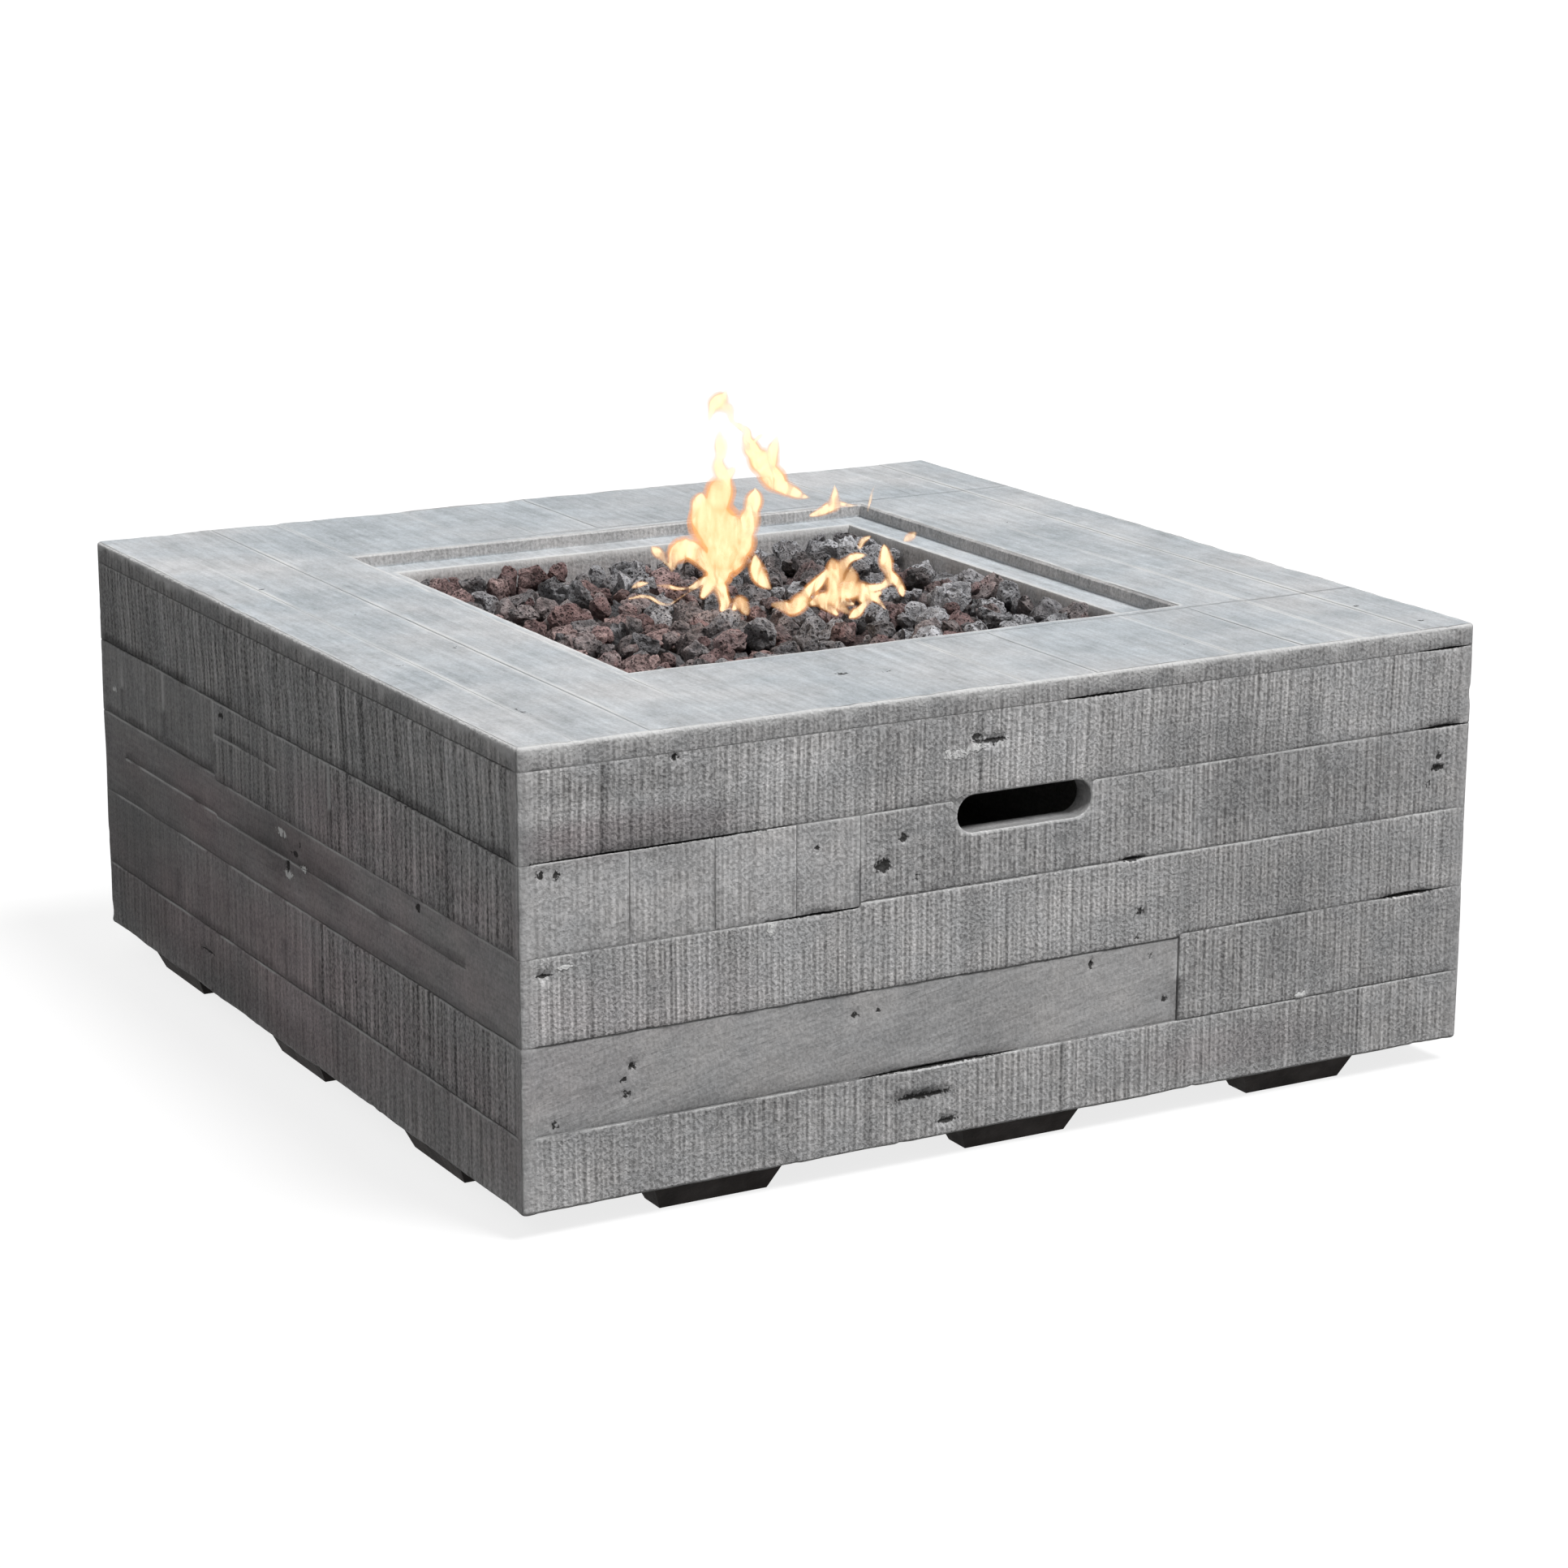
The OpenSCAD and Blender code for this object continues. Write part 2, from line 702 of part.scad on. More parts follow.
module air_shutter() {
    color([0.66, 0.66, 0.67]) difference() {
        bar(shutter_out_d, z_shutter, z_shutter + shutter_l);
        bar(shutter_in_d, z_shutter - overrun, z_shutter + shutter_l + overrun);
        air_windows();
        shutter_screw_way() cylinder(d = shutter_screw_d + screw_play, h = shutter_out_d);
    }
}

module shutter_screw() {
    color([0.7, 0.7, 0.72]) shutter_screw_way() translate([0, 0, shutter_out_d / 2]) rotate([180, 0, 0])
        screw(shutter_screw_d, shutter_wall);
}

module gas_orifice() {
    color([0.78, 0.62, 0.3]) difference() {
        union() {
            bar(spigot_d, z_mixer_end - hex_t, z_mixer_end + spigot_l);
            translate([0, 0, z_mixer_end - hex_t]) hex_bar(nut_af, hex_t);
            bar(flare_d, z_jet_end, z_mixer_end - hex_t);
        }
        bar(port_bore, z_jet_end - overrun, z_mixer_end);
        bar(jet_d, z_mixer_end - overrun, z_mixer_end + spigot_l + overrun);
    }
}

// The gas tube lies in the upright plane through the mixer and the valve's outlet
tube_turn = atan2(knob_y, x_ports);
tube_run = norm([x_ports, knob_y]);

module tube_path(d) {
    z_bend = run_h + bend_r;
    bar(d, z_bend, z_jet_end - seat_play);
    translate([tube_run, 0, 0]) bar(d, z_bend, z_valve_end - seat_play);
    translate([bend_r, 0, run_h]) rotate([0, 90, 0]) cylinder(d = d, h = tube_run - 2 * bend_r);
    translate([bend_r, 0, z_bend]) rotate([90, 0, 0]) rotate(180) rotate_extrude(angle = 90)
        translate([bend_r, 0]) circle(d = d);
    translate([tube_run - bend_r, 0, z_bend]) rotate([90, 0, 0]) rotate(270) rotate_extrude(angle = 90)
        translate([bend_r, 0]) circle(d = d);
}

module gas_tube() {
    color([0.75, 0.75, 0.77]) rotate(tube_turn) difference() {
        tube_path(gas_tube_d);
        tube_path(gas_tube_d - 2 * gas_tube_wall);
    }
}

// Flare nut on a thread that ends at a level, with the tube coming up through it
module flare_nut(z_end) {
    difference() {
        translate([0, 0, z_end - nut_skirt]) hex_bar(nut_af, nut_skirt + nut_grip);
        bar(gas_tube_d + running_play, z_end - nut_skirt - overrun, z_end + overrun);
        bar(flare_d + running_play, z_end - seat_play, z_end + nut_grip + overrun);
    }
}

module tube_nuts() {
    color([0.78, 0.62, 0.3]) {
        flare_nut(z_jet_end);
        translate([x_ports, knob_y, 0]) flare_nut(z_valve_end);
    }
}

module at_valve_ears() {
    for (side = [-1, 1]) along_x(x_plate, knob_y, z_axis + side * valve_ear) children();
}

module valve_body() {
    flange_h = 2 * valve_ear + 14;
    x_flange = x_plate - valve_flange_t;
    color([0.76, 0.62, 0.34]) difference() {
        union() {
            translate([x_flange, knob_y, z_axis]) rotate([90, 0, 90]) linear_extrude(valve_flange_t)
                polygon(rounded(valve_flange_w, flange_h, valve_flange_w * 0.45));
            along_x(x_flange - valve_barrel_l, knob_y) cylinder(d = valve_barrel_d, h = valve_barrel_l);
            along_x(x_flange - valve_barrel_l - magnet_l, knob_y) cylinder(d = magnet_d, h = magnet_l);
            along_x(x_flange - valve_barrel_l - magnet_l - magnet_boss_l, knob_y)
                cylinder(d = magnet_d / 2, h = magnet_boss_l);
            translate([x_ports, knob_y, 0]) {
                bar(flare_d + 6, z_axis - outlet_l, z_axis);
                bar(flare_d, z_valve_end, z_axis - outlet_l);
            }
            translate([x_ports, knob_y, z_axis]) rotate([90, 0, 0])
                cylinder(d = spigot_d + 10, h = inlet_boss_l);
        }
        along_x(x_plate - neck_depth, knob_y) cylinder(d = neck_d, h = neck_depth + overrun);
        along_x(x_plate - stem_depth - knob_push - overrun, knob_y)
            cylinder(d = sleeve_in_d, h = stem_depth);
        at_valve_ears() translate([0, 0, -valve_flange_t - overrun])
            cylinder(d = valve_screw_d + screw_play, h = valve_flange_t + 2 * overrun);
        translate([x_ports, knob_y, 0]) bar(port_bore, z_valve_end - overrun, z_axis - outlet_l);
        translate([x_ports, knob_y - inlet_boss_l - overrun, z_axis]) rotate([-90, 0, 0])
            cylinder(d = spigot_d + running_play, h = spigot_l + 2 * overrun);
    }
}

module valve_screws() {
    color([0.7, 0.7, 0.72]) at_valve_ears() translate([0, 0, plate_t]) rotate([180, 0, 0])
        screw(valve_screw_d, plate_t + valve_flange_t + 2);
}

module stem_sleeve() {
    length = x_knob - seat_play - x_plate + sleeve_depth;
    color([0.78, 0.62, 0.3]) along_x(x_plate - sleeve_depth, knob_y) difference() {
        cylinder(d = sleeve_out_d, h = length);
        translate([0, 0, -overrun]) cylinder(d = sleeve_in_d, h = length + 2 * overrun);
    }
}

// Round bar with a flat along one side, lying up from z = 0
module d_bar(d, flat, h) {
    difference() {
        cylinder(d = d, h = h);
        translate([-d, flat, -overrun]) cube([2 * d, d, h + 2 * overrun]);
    }
}

stem_end = x_knob + knob_h - 5;

module valve_stem() {
    color([0.7, 0.7, 0.72]) along_x(x_plate - stem_depth, knob_y) {
        cylinder(d = stem_d, h = x_knob - x_plate + stem_depth);
        d_bar(stem_d, stem_flat, stem_end - x_plate + stem_depth);
    }
}

module control_knob() {
    flutes = 14;
    flute_d = 4;
    pointer_w = 2;
    round_r = 2;
    bevel = [for (k = [0 : 5]) let (a = 90 * k / 5)
        [grip_d / 2 - round_r + round_r * cos(a), knob_h - round_r + round_r * sin(a)]];
    color([0.14, 0.14, 0.15]) along_x(x_knob, knob_y) difference() {
        rotate_extrude() polygon(concat([[0, 0], [knob_d / 2, 0], [knob_d / 2, skirt_t - 1],
            [knob_d / 2 - 1, skirt_t], [grip_d / 2, skirt_t]], bevel, [[0, knob_h]]));
        for (k = [0 : flutes - 1]) rotate((k + 0.5) * 360 / flutes)
            translate([grip_d / 2 + flute_d / 4, 0, skirt_t + overrun]) cylinder(d = flute_d, h = knob_h);
        translate([0, -pointer_w / 2, knob_h - 1]) mirror([1, 0, 0]) cube([grip_d, pointer_w, knob_h]);
        translate([0, 0, -overrun])
            d_bar(stem_d + running_play, stem_flat + running_play / 2, stem_end - x_knob + overrun + seat_play);
    }
}

module inlet_elbow() {
    z_hex = z_axis - elbow_drop - inlet_hex_t;
    z_tip = z_hex - inlet_l;
    color([0.8, 0.66, 0.34]) difference() {
        union() {
            translate([x_ports, knob_y - inlet_boss_l + spigot_l, z_axis]) rotate([90, 0, 0])
                cylinder(d = spigot_d, h = spigot_l + overrun);
            translate([x_ports, knob_y - inlet_boss_l, z_axis]) rotate([90, 0, 0])
                cylinder(d = elbow_d, h = knob_y - inlet_boss_l - elbow_y);
            translate([x_ports, elbow_y, z_axis]) sphere(d = elbow_d);
            translate([x_ports, elbow_y, 0]) {
                bar(elbow_d, z_hex, z_axis);
                translate([0, 0, z_hex]) hex_bar(inlet_d + 5, inlet_hex_t);
                bar(inlet_d, z_tip, z_hex);
                translate([0, 0, z_tip - inlet_cone])
                    cylinder(d1 = inlet_d - 2 * inlet_cone, d2 = inlet_d, h = inlet_cone);
            }
        }
        translate([x_ports, elbow_y, 0]) bar(inlet_d * 0.38, z_tip - inlet_cone - overrun, z_axis);
    }
}

module control_plate() {
    color([0.72, 0.72, 0.73]) difference() {
        translate([x_plate, 0, z_axis]) rotate([90, 0, 90]) linear_extrude(plate_t)
            polygon(rounded(plate_w, plate_h, panel_r));
        along_x(x_plate - overrun, knob_y) cylinder(d = neck_d + running_play, h = plate_t + 2 * overrun);
        along_x(x_plate - overrun, igniter_y) cylinder(d = igniter_d + screw_play, h = plate_t + 2 * overrun);
        at_valve_ears() translate([0, 0, -overrun])
            cylinder(d = valve_screw_d + screw_play, h = plate_t + 2 * overrun);
        at_plate_corners() translate([0, 0, -overrun])
            cylinder(d = plate_screw_d + screw_play, h = plate_t + 2 * overrun);
    }
}

module plate_screws() {
    color([0.7, 0.7, 0.72]) at_plate_corners() screw(plate_screw_d, plate_t + plate_screw_hold);
}

module igniter_body() {
    button_bore = button_d + running_play;
    depth = button_in + button_push + overrun;
    color([0.12, 0.12, 0.12]) difference() {
        union() {
            along_x(x_plate - igniter_l, igniter_y) cylinder(d = igniter_d, h = igniter_l + plate_t);
            along_x(x_wall, igniter_y) cylinder(d = igniter_flange_d, h = igniter_flange_t);
            along_x(x_plate - igniter_l - terminal_l, igniter_y) cylinder(d = terminal_d, h = terminal_l);
        }
        along_x(x_wall - depth, igniter_y)
            cylinder(d = button_bore, h = depth + igniter_flange_t + overrun);
    }
}

module igniter_nut() {
    color([0.7, 0.7, 0.72]) along_x(x_plate - igniter_nut_t, igniter_y) difference() {
        hex_bar(igniter_d + 8, igniter_nut_t);
        translate([0, 0, -overrun]) cylinder(d = igniter_d + running_play, h = igniter_nut_t + 2 * overrun);
    }
}

module igniter_button() {
    dome = 1.5;
    length = button_in + igniter_flange_t + button_out;
    color([0.66, 0.1, 0.08]) along_x(x_wall - button_in, igniter_y)
        rotate_extrude() polygon([[0, 0], [button_d / 2, 0], [button_d / 2, length - dome],
            [button_d / 2 - dome, length], [0, length]]);
}

module sensor_bracket() {
    color([0.66, 0.66, 0.67]) difference() {
        translate([sensor_r, 0, z_bracket]) linear_extrude(bracket_t)
            polygon(rounded(bracket_w, bracket_l, bracket_w / 4));
        translate([sensor_r, -sensor_gap / 2, 0])
            bar(probe_d + running_play, z_bracket - overrun, z_well_under + overrun);
        translate([sensor_r, sensor_gap / 2, 0])
            bar(ceramic_d + running_play, z_bracket - overrun, z_well_under + overrun);
        at_bracket_screws()
            bar(bracket_screw_d + screw_play, z_bracket - overrun, z_well_under + overrun);
    }
}

module bracket_screws() {
    color([0.7, 0.7, 0.72]) at_bracket_screws() translate([0, 0, z_bracket])
        screw(bracket_screw_d, bracket_t + sheet + 3);
}

z_tail = z_bracket - tail_l;
z_tip = z_pan - 4;

module thermocouple() {
    color([0.6, 0.52, 0.4]) translate([sensor_r, -sensor_gap / 2, 0]) {
        bar(probe_d, z_tail, z_tip);
        bar(probe_d + 4, z_bracket - collar_t, z_bracket);
    }
}

module spark_electrode() {
    color([0.92, 0.91, 0.88]) translate([sensor_r, sensor_gap / 2, 0]) {
        bar(ceramic_d, z_tail, z_pan - well_depth / 2);
        bar(ceramic_d + 4, z_bracket - collar_t, z_bracket);
        bar(tip_d, z_pan - well_depth / 2, z_tip);
    }
}

// Point on a curve that leaves its start downwards and reaches its end along +X
function slack_point(a, b, sag, reach, t) = let (s = 1 - t)
    s * s * s * a + 3 * s * s * t * (a - [0, 0, sag]) + 3 * s * t * t * (b - [reach, 0, 0]) + t * t * t * b;
function slack_way(a, b, sag, reach, t) = let (s = 1 - t)
    s * s * [0, 0, -sag] + 2 * s * t * (b - a + [-reach, 0, sag]) + t * t * [reach, 0, 0];

// Round lead swept along that curve
module slack_lead(a, b, sag, reach, d) {
    last = wire_rings - 1;
    points = [for (k = [0 : last])
        let (t = k / last, p = slack_point(a, b, sag, reach, t), way = slack_way(a, b, sag, reach, t),
             along = way / norm(way), flat = cross(along, [0, 1, 0]), u = flat / norm(flat),
             v = cross(along, u))
        for (n = [0 : wire_sides - 1]) let (turn = 360 * n / wire_sides)
            p + d / 2 * (cos(turn) * u + sin(turn) * v)];
    bands = [for (k = [0 : last - 1], n = [0 : wire_sides - 1])
        let (m = (n + 1) % wire_sides, here = k * wire_sides, next = here + wire_sides)
        each [[here + n, next + n, next + m], [here + n, next + m, here + m]]];
    caps = [for (n = [1 : wire_sides - 2]) let (end = last * wire_sides)
        each [[0, n, n + 1], [end, end + n + 1, end + n]]];
    polyhedron(points, concat(bands, caps));
}

module ignition_wire() {
    start = [sensor_r, sensor_gap / 2, z_tail];
    end = [x_plate - igniter_l - terminal_l, igniter_y, z_axis];
    color([0.75, 0.2, 0.12]) slack_lead(start, end, 60, 110, wire_d);
}

module thermocouple_lead() {
    start = [sensor_r, -sensor_gap / 2, z_tail];
    end = [x_plate - valve_flange_t - valve_barrel_l - magnet_l - magnet_boss_l, knob_y, z_axis];
    color([0.72, 0.42, 0.26]) slack_lead(start, end, 50, 100, lead_d);
}

concrete_body();
feet();
foot_screws();
burner_pan();
burner();
burner_lock_nut();
lava_rocks();
well_rocks();
air_mixer();
air_shutter();
shutter_screw();
gas_orifice();
gas_tube();
tube_nuts();
valve_body();
valve_screws();
stem_sleeve();
valve_stem();
control_knob();
inlet_elbow();
control_plate();
plate_screws();
igniter_body();
igniter_nut();
igniter_button();
ignition_wire();
spark_electrode();
thermocouple();
thermocouple_lead();
sensor_bracket();
bracket_screws();
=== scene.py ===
import json
import math
from itertools import product

import bmesh
import bpy
import numpy as np
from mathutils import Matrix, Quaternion


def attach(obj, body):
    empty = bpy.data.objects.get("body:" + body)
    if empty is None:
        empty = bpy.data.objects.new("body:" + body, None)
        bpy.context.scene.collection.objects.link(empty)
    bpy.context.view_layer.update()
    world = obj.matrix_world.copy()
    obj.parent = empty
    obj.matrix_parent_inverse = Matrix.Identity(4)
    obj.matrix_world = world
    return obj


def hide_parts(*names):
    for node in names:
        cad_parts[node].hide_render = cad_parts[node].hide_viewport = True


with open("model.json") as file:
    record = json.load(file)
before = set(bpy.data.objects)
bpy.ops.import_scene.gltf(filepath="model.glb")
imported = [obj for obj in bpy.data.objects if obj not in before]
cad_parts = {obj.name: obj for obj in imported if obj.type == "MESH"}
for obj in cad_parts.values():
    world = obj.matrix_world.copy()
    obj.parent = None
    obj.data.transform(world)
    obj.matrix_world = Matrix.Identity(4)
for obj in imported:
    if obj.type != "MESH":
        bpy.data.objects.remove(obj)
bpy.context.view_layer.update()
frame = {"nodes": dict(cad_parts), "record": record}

# Sizes in millimetres, as in the part's source. Heights count from the floor.
MM = 0.001
HALF = 432.0
UNDER, TOP = 20.0, 374.0
WALL, SLAB_UNDER = 22.0, 344.0
RIM_IN, RIM_TOP = 376.0, 46.0
EDGE_R, CORNER_R, BOTTOM_R = 3.0, 5.0, 3.0
RECESS, LEDGE_Z = 258.0, 362.0
BASIN, BASIN_OUT = 228.0, 246.0
LIP, LIP_Z, LIP_UNDER = 205.0, 296.0, 282.0
PAN_Z = 297.5
STRIP, BOARD_STEP = 14.0, 1.8
AXIS_Z = 275.5
FRONT, RIGHT, BACK, LEFT = range(4)
# Half widths of a joint's floor, of its mouth and of the close mesh beside it, and a gap beyond all joints
JOINT_FLOOR, JOINT_W, JOINT_SIDE, FAR = 0.35, 0.9, 2.6, 9.0
# Openings in the walls: half the straight length, half the straight height and the corner radius
MOUTHS = {FRONT: (46, 0, 15), BACK: (46, 0, 15), RIGHT: (73, 28, 12)}
# Longest steps of the casting's mesh, on the top and down the walls
TOP_PITCH, WALL_PITCH = 4.2, 5.0
ROCK_REACH = 225.0
STONE_BREAKS = 9
TINY = 1e-6

LATTICE = 64
TABLE = np.random.default_rng(11).random((LATTICE,) * 3) * 2 - 1


def noise(points, cell, seed=0):
    """Smooth noise from -1 to 1 at points, on a lattice with cells of the given size."""
    place = np.asarray(points, float) / cell + 17.31 * seed
    whole = np.floor(place).astype(int)
    part = place - whole
    part = part * part * (3 - 2 * part)
    total = np.zeros(len(place))
    for corner in product((0, 1), repeat=3):
        share = np.prod(np.where(corner, part, 1 - part), axis=1)
        index = (whole + corner) % LATTICE
        total += share * TABLE[index[:, 0], index[:, 1], index[:, 2]]
    return total


def layers(points, cell, seed):
    """Noise with two finer layers added, each half as strong and half as large."""
    return sum(noise(points, np.asarray(cell, float) / 2 ** k, seed + k) / 2 ** k for k in range(3))


def ramp(value, start, end):
    """0 before start, 1 after end and a smooth rise between them."""
    share = np.clip((value - start) / (end - start), 0, 1)
    return share * share * (3 - 2 * share)


def fall(value, start, end):
    """1 before start, 0 after end and a smooth drop between them."""
    return 1 - ramp(value, start, end)


# Camera
camera = bpy.data.objects.new("camera", bpy.data.cameras.new("camera"))
camera.data.lens = 90.95
camera.data.sensor_width = 36
camera.data.clip_end = 300
camera.location = (-1.6062, -2.8957, 1.0632)
camera.rotation_euler = [math.radians(turn) for turn in (75.297, -0.141, -29.439)]
bpy.context.collection.objects.link(camera)
bpy.context.scene.camera = camera


class Look:
    """The nodes of a material or of the world. Each call adds a node and gives back its output."""

    def __init__(self, owner, shader):
        owner.use_nodes = True
        self.owner, self.tree = owner, owner.node_tree
        self.shader = self.tree.nodes[shader]
        self.shift = None

    def fill(self, node, settings):
        """Sets a node's sockets to numbers and colours, or links outputs to them."""
        for key, value in settings.items():
            socket = node.inputs[key]
            if isinstance(value, bpy.types.NodeSocket):
                self.tree.links.new(value, socket)
            elif isinstance(value, tuple) and len(value) == 3 and socket.type == "RGBA":
                socket.default_value = (*value, 1)
            else:
                socket.default_value = value

    def set(self, **settings):
        """Sets the shader's own sockets."""
        self.fill(self.shader, {key.replace("_", " "): value for key, value in settings.items()})

    def node(self, kind, settings, out=0, **options):
        node = self.tree.nodes.new("ShaderNode" + kind)
        for key, value in options.items():
            setattr(node, key, value)
        self.fill(node, settings)
        return node.outputs[out]

    def place(self, cell, turn=0.0):
        """The object's coordinates, turned about Y, in cells of one size or of three, in millimetres."""
        where = self.node("TexCoord", {}, out="Object")
        settings = {"Vector": where, "Rotation": (0, turn, 0), "Scale": tuple(np.broadcast_to(cell, 3) * MM)}
        where = self.node("Mapping", settings, vector_type="TEXTURE")
        return where if self.shift is None else self.node("VectorMath", {0: where, 1: self.shift})

    def noise(self, cell, detail=3.0, rough=0.55, warp=0.0, turn=0.0):
        """Noise about 0, mostly from -0.3 to 0.3."""
        settings = {"Vector": self.place(cell, turn), "Scale": 1.0, "Detail": detail, "Roughness": rough,
                    "Distortion": warp}
        return self.math("SUBTRACT", self.node("TexNoise", settings), 0.5)

    def columns(self, pitch, side_pitch):
        """Straight upright marks about 0, from -0.5 to 0.5, unevenly spaced along X and along Y."""
        cell = (pitch * 5 / math.pi, side_pitch * 5 / math.pi, 2000)
        settings = {"Vector": self.place(cell), "Scale": 1.0, "Distortion": 5.0, "Detail": 2.0,
                    "Detail Scale": 0.6}
        wave = self.node("TexWave", settings, out="Fac", bands_direction="DIAGONAL")
        return self.math("SUBTRACT", wave, 0.5)

    def cells(self, cell):
        """Distance to the middle of the nearest of scattered cells."""
        return self.node("TexVoronoi", {"Vector": self.place(cell), "Scale": 1.0})

    def math(self, operation, a, b=0.0, c=0.0):
        return self.node("Math", {0: a, 1: b, 2: c}, operation=operation)

    def times(self, a, b):
        return self.math("MULTIPLY", a, b)

    def total(self, *terms):
        """Adds outputs, each times a number."""
        total = 0.0
        for output, share in terms:
            total = self.math("MULTIPLY_ADD", output, share, total)
        return total

    def span(self, value, low, high, to_low=0.0, to_high=1.0):
        """Brings low to high onto to_low to to_high, and stops at those ends."""
        return self.node("MapRange", {"Value": value, "From Min": low, "From Max": high, "To Min": to_low,
                                      "To Max": to_high})

    def attribute(self, name):
        return self.node("Attribute", {}, out="Fac", attribute_name=name)

    def mix(self, share, a, b, blend="MIX"):
        return self.node("Mix", {0: share, 6: a, 7: b}, out=2, data_type="RGBA", blend_type=blend)

    def colours(self, value, stops):
        """Colours that follow a value: each stop is a place from 0 to 1 and a colour."""
        node = self.tree.nodes.new("ShaderNodeValToRGB")
        while len(node.color_ramp.elements) < len(stops):
            node.color_ramp.elements.new(0.5)
        for element, (position, colour) in zip(node.color_ramp.elements, stops):
            element.position = position
            element.color = (*colour, 1)
        self.fill(node, {0: value})
        return node.outputs[0]

    def grey(self, value):
        return self.node("CombineColor", {0: value, 1: value, 2: value})

    def bump(self, height, distance):
        self.set(Normal=self.node("Bump", {"Height": height, "Distance": distance}))


def material(name, **settings):
    look = Look(bpy.data.materials.new(name), "Principled BSDF")
    look.set(**settings)
    return look


def add_mesh(name, points, faces, **values):
    """A smooth object from points in millimetres, with named values at the points."""
    mesh = bpy.data.meshes.new(name)
    mesh.from_pydata(points * MM, [], faces)
    mesh.shade_smooth()
    for key, row in values.items():
        mesh.attributes.new(key, "FLOAT", "POINT").data.foreach_set("value", row.astype(np.float32))
    piece = bpy.data.objects.new(name, mesh)
    bpy.context.collection.objects.link(piece)
    return piece


def at_height(flat_points, height):
    """Points in a level plane, lifted to one height or to one each."""
    return np.column_stack([flat_points, np.broadcast_to(height, len(flat_points))])


class Shell:
    """Points with named values, and faces, that become one mesh."""

    VALUES = dict(tone=1.0, groove=0.0, worn=0.0, sawn=0.0, stain=0.0, pit=4.0, chip_glint=4.0, level=0.0,
                  board=0.0)

    def __init__(self):
        self.points, self.values, self.faces, self.count = [], [], [], 0

    def add(self, points, **values):
        """Adds points and gives back their numbers."""
        self.points.append(points)
        size = len(points)
        self.values.append({k: np.broadcast_to(values.get(k, v), size) for k, v in self.VALUES.items()})
        self.count += size
        return np.arange(self.count - size, self.count)

    def quads(self, a, b, c, d):
        self.faces += np.stack([a, b, c, d], axis=-1).reshape(-1, 4).tolist()

    def loft(self, upper, lower):
        """Faces between two closed rows of points."""
        self.quads(lower, np.roll(lower, -1), np.roll(upper, -1), upper)

    def piece(self, name, sharp):
        """The mesh, without loose points and with sharp edges above an angle."""
        values = {key: np.concatenate([v[key] for v in self.values]) for key in self.VALUES}
        piece = add_mesh(name, np.concatenate(self.points), self.faces, **values)
        mesh = piece.data
        work = bmesh.new()
        work.from_mesh(mesh)
        loose = [v for v in work.verts if not v.link_faces]
        bmesh.ops.delete(work, geom=loose, context="VERTS")
        bmesh.ops.recalc_face_normals(work, faces=work.faces)
        work.to_mesh(mesh)
        work.free()
        mesh.set_sharp_from_angle(angle=math.radians(sharp))
        return piece


def stations(low, high, pitch, exact=(), fine=()):
    """Places from low to high, a pitch apart at most, with close ones beside each fine place."""
    beside = (-JOINT_W, -JOINT_FLOOR, JOINT_FLOOR, JOINT_W)
    marks = sorted({low, high, *exact, *(f + d for f in fine for d in beside)})
    places = []
    for a, b in zip(marks, marks[1:]):
        places += np.linspace(a, b, max(1, math.ceil((b - a) / pitch)), endpoint=False).tolist()
    return np.array(places + [high])


